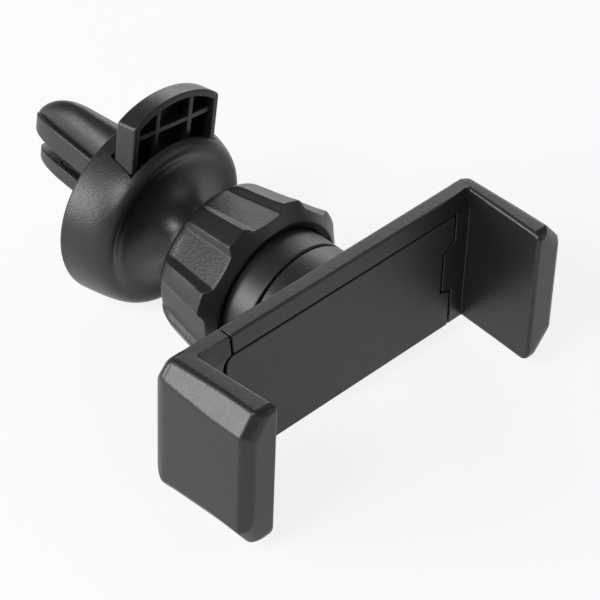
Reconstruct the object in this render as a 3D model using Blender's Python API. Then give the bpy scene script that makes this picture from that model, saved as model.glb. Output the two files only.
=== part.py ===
"""Air vent phone holder.

A spring clamp holds the phone and sits on a ball joint. The ball is one moulding with a round
housing, and the lever clip on the back of that housing grips a vane of a car's air vent.

Axes: +X to the right as seen from the phone's side, +Y back towards the vent, +Z up.
Sizes below are counted from the face of the front plate (Y), the middle of the gap between the
closed jaws (X) and the middle of the cradle's height (Z). The finished model is then moved so
that its origin lies on the clip's upper grip pad, where the vane is held.
"""

import math

import bmesh
import bpy
from mathutils import Vector

MM = 0.001

# Gaps between pieces
SEAT_GAP = 0.3 * MM
PIN_GAP = 0.15 * MM

# Cradle: the two jaws
JAW_GAP = 54.0 * MM
JAW_THICKNESS = 5.0 * MM
JAW_DEPTH = 14.1 * MM
JAW_TOE_IN = 0.9 * MM
LEFT_JAW_FLARE = 0.25 * MM
LEFT_JAW_CHAMFER_ACROSS = 2.4 * MM
LEFT_JAW_CHAMFER_DOWN = 3.5 * MM
RIGHT_JAW_FLARE = 0.0 * MM
RIGHT_JAW_CHAMFER_ACROSS = 3.0 * MM
RIGHT_JAW_CHAMFER_DOWN = 3.6 * MM
JAW_FRONT_CHAMFER = 1.35 * MM
JAW_BACK_Y = 5.6 * MM
JAW_BACK_HALF = 8.4 * MM
JAW_BACK_RADIUS = 3.6 * MM
JAW_INNER_FILLET = 1.0 * MM

# Cradle: the tray between the jaws
CRADLE_HEIGHT = 24.2 * MM
RIM_DEPTH = 3.1 * MM
RIM_SETBACK = 0.5 * MM
ARM_LENGTH = 5.95 * MM
SPINE_DEPTH = 7.2 * MM
SPINE_ROOT_HALF = 9.8 * MM
SPINE_TOP_HALF = 6.9 * MM
SPINE_END_INSET = 3.5 * MM

# Front plate
PLATE_THICKNESS = 1.3 * MM
PLATE_TOP = 8.85 * MM
PLATE_END_MARGIN = 3.1 * MM
PLATE_BEVEL = 0.25 * MM
PLATE_OVERHANG = 1.3 * MM
PLATE_END_GAP = 0.5 * MM
PLATE_CORNER_RADIUS = 1.4 * MM
NOTCH_DEPTH = 2.1 * MM
NOTCH_HIGH = 3.4 * MM
NOTCH_LOW = -5.1 * MM
NOTCH_SLOPE = 0.9 * MM
TONGUE_WIDTH = 6.0 * MM
TONGUE_HEIGHT = 0.9 * MM
TONGUE_SPREAD = 24.0 * MM
HOOK_WIDTH = 4.0 * MM
HOOK_THICKNESS = 0.7 * MM
HOOK_HEIGHT = 8.5 * MM
HOOK_LENGTH = 1.9 * MM
HOOK_BARB = 0.35 * MM

# Slider bar of the left jaw, and its springs
SLIDER_HALF_HEIGHT = 7.3 * MM
SLIDER_THICKNESS = 1.6 * MM
SLIDER_OVERLAP = 40.9 * MM
SLIDER_WINDOW_LENGTH = 22.0 * MM
SLIDER_WINDOW_HEIGHT = 4.4 * MM
CAVITY_FLOOR = 5.8 * MM
SPRING_HEIGHT = 4.4 * MM
SPRING_RADIUS = 0.95 * MM
SPRING_WIRE = 0.22 * MM
SPRING_TURNS = 12
POST_RADIUS = 0.75 * MM
SLIDER_POST_INSET = 5.9 * MM
HOUSING_POST_INSET = 9.5 * MM

# Ball joint, all on one axis
BALL_STANDOFF = 13.4 * MM
BOSS_X = -0.5 * MM
BOSS_Z = 0.4 * MM
BALL_RADIUS = 7.6 * MM
BALL_FLOOR = 1.4 * MM
LINER_THICKNESS = 0.8 * MM
LINER_WRAP = 3.4 * MM
SOCKET_RADIUS = 10.7 * MM
SOCKET_WALL = 1.0 * MM
SOCKET_WRAP = 3.8 * MM
SOCKET_SHOULDER_SETBACK = 3.4 * MM
FINGER_SLOT = 1.2 * MM
FINGER_SLOT_SETBACK = 5.1 * MM
SOCKET_SCREW_RADIUS = 1.3 * MM
SOCKET_SCREW_LENGTH = 7.0 * MM

# Locking collar
COLLAR_FRONT_REACH = 8.5 * MM
COLLAR_REAR_REACH = 4.8 * MM
COLLAR_MOUTH_RADIUS = 11.9 * MM
COLLAR_FRONT_RADIUS = 13.5 * MM
COLLAR_REAR_RADIUS = 11.2 * MM
COLLAR_FRONT_SLOPE = 1.35 * MM
COLLAR_LIP = 0.7 * MM
LOBE_COUNT = 8
LOBE_HEIGHT = 0.75 * MM
LOBE_TOP_SHARE = 0.34
LOBE_FOOT_SHARE = 0.56
LOBE_TURN = 26.0

# Round housing of the base
BASE_ROLL = 6.2
NECK_RADIUS = 4.5 * MM
NECK_FILLET = 6.3 * MM
DOME_STANDOFF = 13.2 * MM
DOME_DEPTH = 8.45 * MM
DOME_FACE_RADIUS = 12.45 * MM
DOME_SHOULDER_RADIUS = 14.65 * MM
DOME_SHOULDER_SHARE = 0.5325
DOME_BACK_RADIUS = 15.42 * MM
DISH_DEPTH = 0.8 * MM
SHELL_WALL = 1.4 * MM
COVER_THICKNESS = 1.3 * MM
COVER_SEAT = 0.8 * MM
CORE_RADIUS = 2.4 * MM
CORE_DEEP_RADIUS = 1.5 * MM
CORE_STEP = 1.2 * MM
COVER_SCREW_RADIUS = 0.9 * MM
COVER_SCREW_CIRCLE = 10.6 * MM
COVER_SCREW_TURNS = (20.0, 160.0, 270.0)

# Release lever
TAB_HALF_WIDTH = 8.43 * MM
TAB_SETBACK = 1.6 * MM
TAB_THICKNESS = 3.9 * MM
TAB_TOP = 22.2 * MM
TAB_SHOULDER = 19.3 * MM
TAB_BACK_DROP = 0.9 * MM
TAB_WALL = 1.5 * MM
TAB_FLOOR = 1.0 * MM
TAB_RIB = 1.0 * MM
TAB_RIB_SPREAD = 6.5 * MM
TAB_RIB_HEIGHT = 16.75 * MM
TAB_ROOT = 11.4 * MM
WEB_HALF_WIDTH = 5.2 * MM
WEB_THICKNESS = 2.1 * MM
PIVOT_SETBACK = 2.9 * MM
PIVOT_Z = 7.6 * MM
PIVOT_BARREL = 1.8 * MM
PIN_RADIUS = 0.9 * MM
PIN_LENGTH = 14.6 * MM
EAR_THICKNESS = 1.6 * MM
LEVER_SWING = 5.0
CLAMP_SPRING_RADIUS = 2.0 * MM
CLAMP_SPRING_WIRE = 0.28 * MM
CLAMP_SPRING_TURNS = 5

# Prongs of the clip
PRONG_HALF_WIDTH = 4.5 * MM
PRONG_TAPER = 0.092
PRONG_LEDGE = 0.4 * MM
PRONG_TIP_LENGTH = 6.9 * MM
PRONG_TIP_POWER = 0.3
UPPER_PRONG_BOTTOM = 1.2 * MM
UPPER_PRONG_RIDGE = 5.2 * MM
UPPER_PRONG_TOP = 10.4 * MM
UPPER_PRONG_DROP = 0.054
UPPER_PRONG_LENGTH = 21.95 * MM
ARCH_TIP_LENGTH = 9.5 * MM
ARCH_TIP_POWER = 0.77
LOWER_PRONG_TOP = -0.4 * MM
LOWER_PRONG_BOTTOM = -3.2 * MM
LOWER_PRONG_EDGE = 0.8 * MM
LOWER_PRONG_LENGTH = 20.45 * MM
PAD_HALF_WIDTH = 2.1 * MM
PAD_SETBACK = 2.25 * MM
PAD_LENGTH = 12.0 * MM
PAD_THICKNESS = 1.0 * MM
PAD_PROUD = 0.2 * MM

HOUSING_LEFT = -(JAW_GAP / 2 - ARM_LENGTH) + SEAT_GAP / 2
ARM_RIGHT = -(JAW_GAP / 2 - ARM_LENGTH) - SEAT_GAP / 2
CAVITY_HALF_HEIGHT = SLIDER_HALF_HEIGHT + SEAT_GAP
SLIDER_FRONT_Y = PLATE_THICKNESS + 2 * SEAT_GAP
SLIDER_BACK_Y = SLIDER_FRONT_Y + SLIDER_THICKNESS
SLIDER_RIGHT = ARM_RIGHT + SLIDER_OVERLAP
CAVITY_RIGHT = SLIDER_RIGHT + 2 * SEAT_GAP
SOCKET_FRONT_Y = SPINE_DEPTH + SEAT_GAP
BALL_Y = SPINE_DEPTH + BALL_STANDOFF
SOCKET_SHOULDER_Y = BALL_Y - SOCKET_SHOULDER_SETBACK
FINGER_SLOT_Y = BALL_Y - FINGER_SLOT_SETBACK
COLLAR_FRONT_Y = BALL_Y - COLLAR_FRONT_REACH
COLLAR_REAR_Y = BALL_Y + COLLAR_REAR_REACH
DOME_FRONT_Y = BALL_Y + DOME_STANDOFF
DOME_SHOULDER_Y = DOME_FRONT_Y + DOME_SHOULDER_SHARE * DOME_DEPTH
DOME_BACK_Y = DOME_FRONT_Y + DOME_DEPTH
CORE_STEP_Y = DOME_FRONT_Y - CORE_STEP
TAB_FRONT_Y = DOME_FRONT_Y + TAB_SETBACK
PIVOT_Y = TAB_FRONT_Y + PIVOT_SETBACK
WEB_FRONT_Y = PIVOT_Y - WEB_THICKNESS / 2
WEB_BACK_Y = PIVOT_Y + WEB_THICKNESS / 2
UPPER_PRONG_TIP_Y = DOME_BACK_Y + UPPER_PRONG_LENGTH
LOWER_PRONG_TIP_Y = DOME_BACK_Y + LOWER_PRONG_LENGTH
PAD_FRONT_Y = DOME_BACK_Y + PAD_SETBACK
LINER_INNER = BALL_RADIUS + SEAT_GAP
LINER_OUTER = LINER_INNER + LINER_THICKNESS
SEAT_RADIUS = LINER_OUTER + SEAT_GAP
PAD_FACE_Z = UPPER_PRONG_BOTTOM - PAD_PROUD
GRIP_Y = PAD_FRONT_Y + PAD_LENGTH / 2


def new_material(name, colour, roughness, metallic=0.0):
    """One Principled material for a sub-part."""
    material = bpy.data.materials.new(name)
    material.use_nodes = True
    shader = material.node_tree.nodes["Principled BSDF"]
    shader.inputs["Base Color"].default_value = (*colour, 1.0)
    shader.inputs["Roughness"].default_value = roughness
    shader.inputs["Metallic"].default_value = metallic
    return material


def new_empty(name, parent, location, roll=0.0):
    """A frame that pieces are placed in; roll turns it about Y, in degrees."""
    empty = bpy.data.objects.new(name, None)
    empty.parent = parent
    empty.location = location
    empty.rotation_euler = (0.0, math.radians(roll), 0.0)
    bpy.context.collection.objects.link(empty)
    return empty


def new_object(name, bm, material=None, parent=None, offset=(0.0, 0.0, 0.0), smooth=None):
    """Turns a bmesh into an object; smooth is the edge angle, in degrees, that stays sharp."""
    bmesh.ops.recalc_face_normals(bm, faces=bm.faces[:])
    mesh = bpy.data.meshes.new(name)
    bm.to_mesh(mesh)
    bm.free()
    if smooth is not None:
        mesh.shade_smooth()
        mesh.set_sharp_from_angle(angle=math.radians(smooth))
    if material is not None:
        mesh.materials.append(material)
    piece = bpy.data.objects.new(name, mesh)
    piece.parent = parent
    piece.location = offset
    bpy.context.collection.objects.link(piece)
    return piece


def combine(piece, operation, name, bm):
    """Joins or cuts a piece with a hidden tool shape that stands in the same frame."""
    tool = new_object(name, bm, parent=piece.parent, offset=piece.location)
    tool.hide_render = True
    tool.display_type = "WIRE"
    modifier = piece.modifiers.new(name, "BOOLEAN")
    modifier.operation = operation
    modifier.object = tool
    return tool


def cut(piece, name, bm):
    return combine(piece, "DIFFERENCE", name, bm)


def add(piece, name, bm):
    return combine(piece, "UNION", name, bm)


def arc(centre, radii, start, end, steps):
    """Points on an ellipse arc, angles in degrees, both ends included."""
    points = []
    for step in range(steps + 1):
        angle = math.radians(start + (end - start) * step / steps)
        points.append((centre[0] + radii[0] * math.cos(angle), centre[1] + radii[1] * math.sin(angle)))
    return points


def revolve(outline, steps):
    """Turns a (radius, y) outline about the Y axis; an outline off the axis closes on itself."""
    bm = bmesh.new()
    verts = [bm.verts.new((radius, y, 0.0)) for radius, y in outline]
    edges = [bm.edges.new(pair) for pair in zip(verts, verts[1:])]
    if outline[0][0] > 0.0:
        edges.append(bm.edges.new((verts[-1], verts[0])))
    bmesh.ops.spin(
        bm,
        geom=verts + edges,
        cent=(0.0, 0.0, 0.0),
        axis=(0.0, 1.0, 0.0),
        dvec=(0.0, 0.0, 0.0),
        angle=2 * math.pi,
        steps=steps,
        use_merge=True,
    )
    bmesh.ops.remove_doubles(bm, verts=bm.verts[:], dist=1e-7)
    return bm


def loft(rings):
    """Skins rings of equally many points and closes both ends."""
    bm = bmesh.new()
    rows = [[bm.verts.new(point) for point in ring] for ring in rings]
    for low, high in zip(rows, rows[1:]):
        for i in range(len(low)):
            j = (i + 1) % len(low)
            bm.faces.new((low[i], low[j], high[j], high[i]))
    bm.faces.new(rows[0])
    bm.faces.new(rows[-1])
    return bm


def along_x(section, start, end):
    """Prism of a (y, z) section between two X places."""
    return loft([[(x, y, z) for y, z in section] for x in (start, end)])


def along_y(section, start, end):
    """Prism of an (x, z) section between two Y places."""
    return loft([[(x, y, z) for x, z in section] for y in (start, end)])


def along_z(section, start, end):
    """Prism of an (x, y) section between two Z places."""
    return loft([[(x, y, z) for x, y in section] for z in (start, end)])


def block(x_range, y_range, z_range):
    """Plain box between three pairs of limits."""
    (x0, x1), (y0, y1), (z0, z1) = x_range, y_range, z_range
    return along_x([(y0, z0), (y0, z1), (y1, z1), (y1, z0)], x0, x1)


def rod_along_y(centre, radius, start, end, steps=16):
    """Round rod along Y about an (x, z) centre."""
    circle = arc(centre, (radius, radius), 0, 360, steps)[:-1]
    return along_y(circle, start, end)


def rod_along_x(centre, radius, start, end, steps=16):
    """Round rod along X about a (y, z) centre."""
    circle = arc(centre, (radius, radius), 0, 360, steps)[:-1]
    return along_x(circle, start, end)


def wire(name, points, radius, material, parent, offset, sides=2):
    """Round wire through given points, as a curve with a bevel and filled ends."""
    curve = bpy.data.curves.new(name, "CURVE")
    curve.dimensions = "3D"
    curve.bevel_depth = radius
    curve.bevel_resolution = sides
    curve.use_fill_caps = True
    spline = curve.splines.new("POLY")
    spline.points.add(len(points) - 1)
    for slot, point in zip(spline.points, points):
        slot.co = (*point, 1.0)
    curve.materials.append(material)
    piece = bpy.data.objects.new(name, curve)
    piece.parent = parent
    piece.location = offset
    bpy.context.collection.objects.link(piece)
    return piece


def jaw_rings(side):
    """Rings of a jaw from its back edge to its front; side is -1 for the left jaw, 1 for the right."""
    left = side < 0
    flare = LEFT_JAW_FLARE if left else RIGHT_JAW_FLARE
    across = LEFT_JAW_CHAMFER_ACROSS if left else RIGHT_JAW_CHAMFER_ACROSS
    down = LEFT_JAW_CHAMFER_DOWN if left else RIGHT_JAW_CHAMFER_DOWN
    back_slope = (CRADLE_HEIGHT / 2 - JAW_BACK_HALF) / (JAW_BACK_Y - RIM_DEPTH)
    stations = []
    for angle in (90, 70, 50, 30, 10):
        turn = math.radians(angle)
        y = JAW_BACK_Y - JAW_BACK_RADIUS * (1 - math.sin(turn))
        stations.append((y, JAW_BACK_RADIUS * (1 - math.cos(turn)), max(0.0, y - RIM_DEPTH) * back_slope))
    stations.append((0.0, 0.0, 0.0))
    stations.append((-JAW_DEPTH + JAW_FRONT_CHAMFER, 0.0, 0.0))
    stations.append((-JAW_DEPTH, JAW_FRONT_CHAMFER, JAW_FRONT_CHAMFER / 3))
    rings = []
    for y, cut_across, cut_down in stations:
        share = max(0.0, -y / JAW_DEPTH)
        inner = JAW_GAP / 2 - JAW_TOE_IN * share
        outer = JAW_GAP / 2 + JAW_THICKNESS - cut_across
        half = CRADLE_HEIGHT / 2 + flare * share - cut_down
        top_outer = max(outer - across, inner + SEAT_GAP)
        low = half - down
        profile = [(inner, -half), (inner, half), (top_outer, half), (outer, low), (outer, -low), (top_outer, -half)]
        rings.append([(side * x, y, z) for x, z in profile])
    return rings


def rim_section():
    """Section of the tray's rim: upright back, front edge leaning back above the plate."""
    half = CRADLE_HEIGHT / 2
    return [(RIM_SETBACK, half), (RIM_DEPTH, half), (RIM_DEPTH, -half), (0.0, -half), (0.0, PLATE_TOP)]


def spine_rings(near, side):
    """Raised spine on the back, from near to the jaw, where it runs out into the jaw's back."""
    far = side * (JAW_GAP / 2 - SPINE_END_INSET)
    end = side * (JAW_GAP / 2 + JAW_INNER_FILLET)
    inside = RIM_DEPTH - SEAT_GAP
    rings = []
    for x, depth in ((near, SPINE_DEPTH), (far, SPINE_DEPTH), (end, JAW_BACK_Y - SEAT_GAP)):
        section = [
            (inside, SPINE_ROOT_HALF),
            (depth, SPINE_TOP_HALF),
            (depth, -SPINE_TOP_HALF),
            (inside, -SPINE_ROOT_HALF),
            (inside - SEAT_GAP, -SPINE_ROOT_HALF),
            (inside - SEAT_GAP, SPINE_ROOT_HALF),
        ]
        rings.append([(x, y, z) for y, z in section])
    return rings


def inner_fillet(side):
    """Concave fillet between a jaw's inner face and the face of the tray."""
    radius = JAW_INNER_FILLET
    wall = JAW_GAP / 2
    section = arc((wall - radius, -radius), (radius, radius), 90, 0, 4)
    section += [(wall + SEAT_GAP, -radius), (wall + SEAT_GAP, SEAT_GAP), (wall - radius, SEAT_GAP)]
    half = CRADLE_HEIGHT / 2 - SEAT_GAP
    return along_z([(side * x, y) for x, y in section], -half, PLATE_TOP)


def plate_outline(gap):
    """Outline of the front plate in (x, z), grown outwards by gap on its upper and right edges."""
    left = HOUSING_LEFT - PLATE_OVERHANG - gap * PLATE_END_GAP / SEAT_GAP
    right = JAW_GAP / 2 - PLATE_END_MARGIN + gap
    notch = right - NOTCH_DEPTH
    bottom = -CRADLE_HEIGHT / 2
    radius = PLATE_CORNER_RADIUS + gap
    corner = arc((left + radius, PLATE_TOP + gap - radius), (radius, radius), 180, 90, 5)
    return [
        (left, bottom),
        *corner,
        (right, PLATE_TOP + gap),
        (right, NOTCH_HIGH + NOTCH_SLOPE - gap / 2),
        (notch, NOTCH_HIGH - NOTCH_SLOPE - gap / 2),
        (notch, NOTCH_LOW + NOTCH_SLOPE / 2 + gap / 2),
        (right, NOTCH_LOW - NOTCH_SLOPE / 2 + gap / 2),
        (right, bottom),
    ]


def plate_middle():
    """X halfway between the front plate's ends."""
    return (HOUSING_LEFT - PLATE_OVERHANG + JAW_GAP / 2 - PLATE_END_MARGIN) / 2


def build_front_plate(material, frame, offset):
    """Flat plate with a bevelled front edge, two tongues behind the rim and two snap hooks."""
    bm = bmesh.new()
    face = bm.faces.new([bm.verts.new((x, PLATE_BEVEL, z)) for x, z in plate_outline(0.0)])
    solid = bmesh.ops.extrude_face_region(bm, geom=[face], use_keep_orig=True)
    back = [part for part in solid["geom"] if isinstance(part, bmesh.types.BMVert)]
    bmesh.ops.translate(bm, verts=back, vec=(0.0, PLATE_THICKNESS - PLATE_BEVEL, 0.0))
    bmesh.ops.inset_region(bm, faces=[face], thickness=PLATE_BEVEL, use_even_offset=True)
    bmesh.ops.translate(bm, verts=face.verts[:], vec=(0.0, -PLATE_BEVEL, 0.0))
    plate = new_object("front_plate", bm, material, frame, offset)
    middle = plate_middle()
    for index, side in enumerate((-1, 1), start=1):
        centre = middle + side * TONGUE_SPREAD / 2
        tongue = block(
            (centre - TONGUE_WIDTH / 2, centre + TONGUE_WIDTH / 2),
            (PLATE_THICKNESS - HOOK_THICKNESS / 2, PLATE_THICKNESS + HOOK_THICKNESS / 2 - SEAT_GAP / 2),
            (PLATE_TOP - TONGUE_HEIGHT, PLATE_TOP + TONGUE_HEIGHT),
        )
        add(plate, f"plate_tongue_{index}", tongue)
        reach = PLATE_THICKNESS + HOOK_LENGTH
        upper = -HOOK_HEIGHT + HOOK_THICKNESS
        section = [
            (PLATE_THICKNESS - HOOK_THICKNESS / 2, -HOOK_HEIGHT),
            (PLATE_THICKNESS - HOOK_THICKNESS / 2, upper),
            (reach, upper),
            (reach - HOOK_BARB, -HOOK_HEIGHT - HOOK_BARB),
            (reach - 2 * HOOK_BARB, -HOOK_HEIGHT),
        ]
        hook = along_x(section, centre - HOOK_WIDTH / 2, centre + HOOK_WIDTH / 2)
        add(plate, f"plate_hook_{index}", hook)
    return plate


def build_cradle_housing(material, frame, offset):
    """Tray with the fixed right jaw, the spine, the boss for the socket and the slider's channel."""
    right = JAW_GAP / 2
    housing = new_object("cradle_housing", along_x(rim_section(), HOUSING_LEFT, right + SEAT_GAP), material, frame, offset)
    add(housing, "fixed_jaw", loft(jaw_rings(1)))
    add(housing, "fixed_jaw_fillet", inner_fillet(1))
    add(housing, "housing_spine", loft(spine_rings(HOUSING_LEFT, 1)))
    add(housing, "socket_boss", rod_along_y((BOSS_X, BOSS_Z), SOCKET_RADIUS, RIM_DEPTH / 2, SPINE_DEPTH, 48))
    recess = along_y(plate_outline(SEAT_GAP), -JAW_DEPTH / 4, PLATE_THICKNESS + SEAT_GAP)
    cut(housing, "plate_recess", recess)
    channel = [
        (PLATE_THICKNESS / 2, CAVITY_HALF_HEIGHT),
        (SLIDER_BACK_Y + SEAT_GAP, CAVITY_HALF_HEIGHT),
        (SLIDER_BACK_Y + SEAT_GAP, SPRING_HEIGHT + 2 * SPRING_RADIUS),
        (CAVITY_FLOOR, SPRING_HEIGHT + 2 * SPRING_RADIUS),
        (CAVITY_FLOOR, -SPRING_HEIGHT - 2 * SPRING_RADIUS),
        (SLIDER_BACK_Y + SEAT_GAP, -SPRING_HEIGHT - 2 * SPRING_RADIUS),
        (SLIDER_BACK_Y + SEAT_GAP, -CAVITY_HALF_HEIGHT),
        (PLATE_THICKNESS / 2, -CAVITY_HALF_HEIGHT),
    ]
    cut(housing, "slider_channel", along_x(channel, HOUSING_LEFT - JAW_THICKNESS, CAVITY_RIGHT))
    hole = rod_along_y((BOSS_X, BOSS_Z), SOCKET_SCREW_RADIUS + PIN_GAP, PLATE_THICKNESS, SOCKET_FRONT_Y + SEAT_GAP)
    cut(housing, "socket_screw_hole", hole)
    middle = plate_middle()
    for index, side in enumerate((-1, 1), start=1):
        centre = middle + side * TONGUE_SPREAD / 2
        groove = block(
            (centre - TONGUE_WIDTH / 2 - SEAT_GAP, centre + TONGUE_WIDTH / 2 + SEAT_GAP),
            (PLATE_THICKNESS - HOOK_THICKNESS / 2 - SEAT_GAP, PLATE_THICKNESS + HOOK_THICKNESS / 2 + SEAT_GAP),
            (PLATE_TOP - TONGUE_HEIGHT, PLATE_TOP + TONGUE_HEIGHT + SEAT_GAP),
        )
        cut(housing, f"tongue_groove_{index}", groove)
        pocket = block(
            (centre - HOOK_WIDTH / 2 - SEAT_GAP, centre + HOOK_WIDTH / 2 + SEAT_GAP),
            (PLATE_THICKNESS / 2, PLATE_THICKNESS + HOOK_LENGTH + SEAT_GAP),
            (-HOOK_HEIGHT - HOOK_BARB - SEAT_GAP, -CAVITY_HALF_HEIGHT + SEAT_GAP),
        )
        cut(housing, f"hook_pocket_{index}", pocket)
        post = rod_along_y(
            (CAVITY_RIGHT - HOUSING_POST_INSET / 2, side * SPRING_HEIGHT),
            POST_RADIUS,
            SLIDER_BACK_Y + SEAT_GAP,
            CAVITY_FLOOR + SEAT_GAP,
            10,
        )
        add(housing, f"housing_post_{index}", post)
    return housing


def build_sliding_jaw(material, frame, offset):
    """Left jaw with its short arm, and the slider bar that runs inside the tray."""
    left = -JAW_GAP / 2
    jaw = new_object("sliding_jaw", along_x(rim_section(), left - SEAT_GAP, ARM_RIGHT), material, frame, offset)
    add(jaw, "moving_jaw", loft(jaw_rings(-1)))
    add(jaw, "moving_jaw_fillet", inner_fillet(-1))
    add(jaw, "arm_spine", loft(spine_rings(ARM_RIGHT, -1)))
    recess = along_y(plate_outline(SEAT_GAP), -JAW_DEPTH / 4, PLATE_THICKNESS + SEAT_GAP)
    cut(jaw, "arm_plate_recess", recess)
    bar = block(
        (left, SLIDER_RIGHT),
        (SLIDER_FRONT_Y, SLIDER_BACK_Y),
        (-SLIDER_HALF_HEIGHT, SLIDER_HALF_HEIGHT),
    )
    add(jaw, "slider_bar", bar)
    window_right = SLIDER_RIGHT - HOUSING_POST_INSET
    window = block(
        (window_right - SLIDER_WINDOW_LENGTH, window_right),
        (SLIDER_FRONT_Y - SEAT_GAP, SLIDER_BACK_Y + SEAT_GAP),
        (-SLIDER_WINDOW_HEIGHT / 2, SLIDER_WINDOW_HEIGHT / 2),
    )
    cut(jaw, "slider_window", window)
    for index, side in enumerate((-1, 1), start=1):
        post = rod_along_y(
            (ARM_RIGHT + SLIDER_POST_INSET, side * SPRING_HEIGHT),
            POST_RADIUS,
            SLIDER_BACK_Y - SEAT_GAP,
            CAVITY_FLOOR - SEAT_GAP,
            10,
        )
        add(jaw, f"slider_post_{index}", post)
    return jaw


def build_jaw_spring(name, side, material, frame, offset):
    """Extension spring with a loop at each end, hooked on the slider's and the housing's posts."""
    wire_gap = SEAT_GAP / 2
    loop = POST_RADIUS + SPRING_WIRE + wire_gap
    start = ARM_RIGHT + SLIDER_POST_INSET
    end = CAVITY_RIGHT - HOUSING_POST_INSET / 2
    y = (SLIDER_BACK_Y + CAVITY_FLOOR) / 2
    z = side * SPRING_HEIGHT
    coil_start = start + loop + 2 * SPRING_RADIUS
    coil_end = end - loop - 2 * SPRING_RADIUS
    points = [(x, y, z + w) for x, w in arc((start, 0.0), (loop, loop), 60, 340, 8)]
    steps = SPRING_TURNS * 8
    middle = SPRING_RADIUS - SPRING_WIRE
    for step in range(steps + 1):
        turn = 2 * math.pi * step / 8 - math.pi / 2
        x = coil_start + (coil_end - coil_start) * step / steps
        points.append((x, y + middle * math.cos(turn), z + middle * math.sin(turn)))
    points += [(x, y, z + w) for x, w in arc((end, 0.0), (loop, loop), 200, 480, 8)]
    return wire(name, points, SPRING_WIRE, material, frame, offset, 0)


def build_ball_socket(material, frame, offset):
    """Round socket: smooth barrel, threaded waist inside the collar and four slotted fingers."""
    lip_y = BALL_Y + SOCKET_WRAP
    lip_inner = math.sqrt(SEAT_RADIUS**2 - SOCKET_WRAP**2)
    wrap = math.degrees(math.asin(SOCKET_WRAP / SEAT_RADIUS))
    hole = SOCKET_SCREW_RADIUS + PIN_GAP
    pole = math.degrees(math.acos(hole / SEAT_RADIUS))
    outline = [
        (hole, SOCKET_FRONT_Y),
        (SOCKET_RADIUS - SEAT_GAP, SOCKET_FRONT_Y),
        (SOCKET_RADIUS, SOCKET_FRONT_Y + SEAT_GAP),
        (SOCKET_RADIUS, SOCKET_SHOULDER_Y),
        (SEAT_RADIUS + 1.2 * SOCKET_WALL, SOCKET_SHOULDER_Y + SEAT_GAP),
        (SEAT_RADIUS + SOCKET_WALL, BALL_Y),
        (lip_inner + SOCKET_WALL, lip_y),
    ]
    outline += arc((0.0, BALL_Y), (SEAT_RADIUS, SEAT_RADIUS), wrap, -pole, 9)
    socket = new_object("ball_socket", revolve(outline, 44), material, frame, offset, smooth=30)
    for index, turn in enumerate((45.0, 135.0), start=1):
        direction = Vector((math.cos(math.radians(turn)), 0.0, math.sin(math.radians(turn))))
        across = Vector((-direction.z, 0.0, direction.x)) * FINGER_SLOT / 2
        reach = direction * (SOCKET_RADIUS + SOCKET_WALL)
        corners = [reach + across, reach - across, -reach - across, -reach + across]
        rings = [[(c.x, y, c.z) for c in corners] for y in (FINGER_SLOT_Y, lip_y + SEAT_GAP)]
        cut(socket, f"finger_slots_{index}", loft(rings))
    return socket


def build_ball_liner(material, frame, offset):
    """Thin cup between the ball and the socket."""
    end = math.degrees(math.asin(LINER_WRAP / LINER_OUTER))
    pole = 90 - math.degrees(math.asin((SOCKET_SCREW_RADIUS + PIN_GAP) / LINER_INNER))
    outer = arc((0.0, BALL_Y), (LINER_OUTER, LINER_OUTER), end, -pole, 8)
    inner = arc((0.0, BALL_Y), (LINER_INNER, LINER_INNER), -pole, end, 8)
    return new_object("ball_liner", revolve(outer + inner, 32), material, frame, offset, smooth=30)


def build_pan_screw(name, parent, offset, material, radius, length, head_radius, head_height):
    """Pan-head screw along +Y: the head's top faces -Y, and offset is the seat under the head."""
    dome = arc((0.0, -head_height * 0.35), (head_radius, head_height * 0.65), -90, 0, 3)
    outline = dome + [(head_radius, 0.0), (radius, 0.0), (radius, length - radius), (radius / 2, length)]
    outline.append((0.0, length))
    screw = new_object(name, revolve(outline, 14), material, parent, offset, smooth=30)
    arm = head_radius * 0.55
    width = head_radius * 0.16
    for index, (wide, tall) in enumerate(((arm, width), (width, arm)), start=1):
        slot = block((-wide, wide), (-2 * head_height, -head_height * 0.45), (-tall, tall))
        cut(screw, f"{name}_drive_{index}", slot)
    return screw


def build_socket_fixing(material, frame):
    """Screw and washer that hold the socket on the cradle, from inside the tray."""
    washer_thickness = SEAT_GAP * 1.5
    washer_y = CAVITY_FLOOR - SEAT_GAP - washer_thickness
    outer = 2 * SOCKET_SCREW_RADIUS + SEAT_GAP / 2
    inner = SOCKET_SCREW_RADIUS + PIN_GAP
    outline = [
        (inner, washer_y),
        (outer, washer_y),
        (outer, washer_y + washer_thickness),
        (inner, washer_y + washer_thickness),
    ]
    new_object("socket_washer", revolve(outline, 24), material, frame, (0.0, -BALL_Y, 0.0), smooth=30)
    seat = (0.0, washer_y - SEAT_GAP / 2 - BALL_Y, 0.0)
    head_height = washer_y - SEAT_GAP - SLIDER_BACK_Y - SEAT_GAP / 2
    build_pan_screw("socket_screw", frame, seat, material, SOCKET_SCREW_RADIUS, SOCKET_SCREW_LENGTH,
                    1.9 * SOCKET_SCREW_RADIUS, head_height)


def collar_radius(angle, valley, height):
    """Radius of the collar's lobed outline at an angle in degrees."""
    pitch = 360.0 / LOBE_COUNT
    away = abs((angle - LOBE_TURN + pitch / 2) % pitch - pitch / 2) / (pitch / 2)
    if away <= LOBE_TOP_SHARE:
        return valley + height
    if away >= LOBE_FOOT_SHARE:
        return valley
    return valley + height * (LOBE_FOOT_SHARE - away) / (LOBE_FOOT_SHARE - LOBE_TOP_SHARE)


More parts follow.
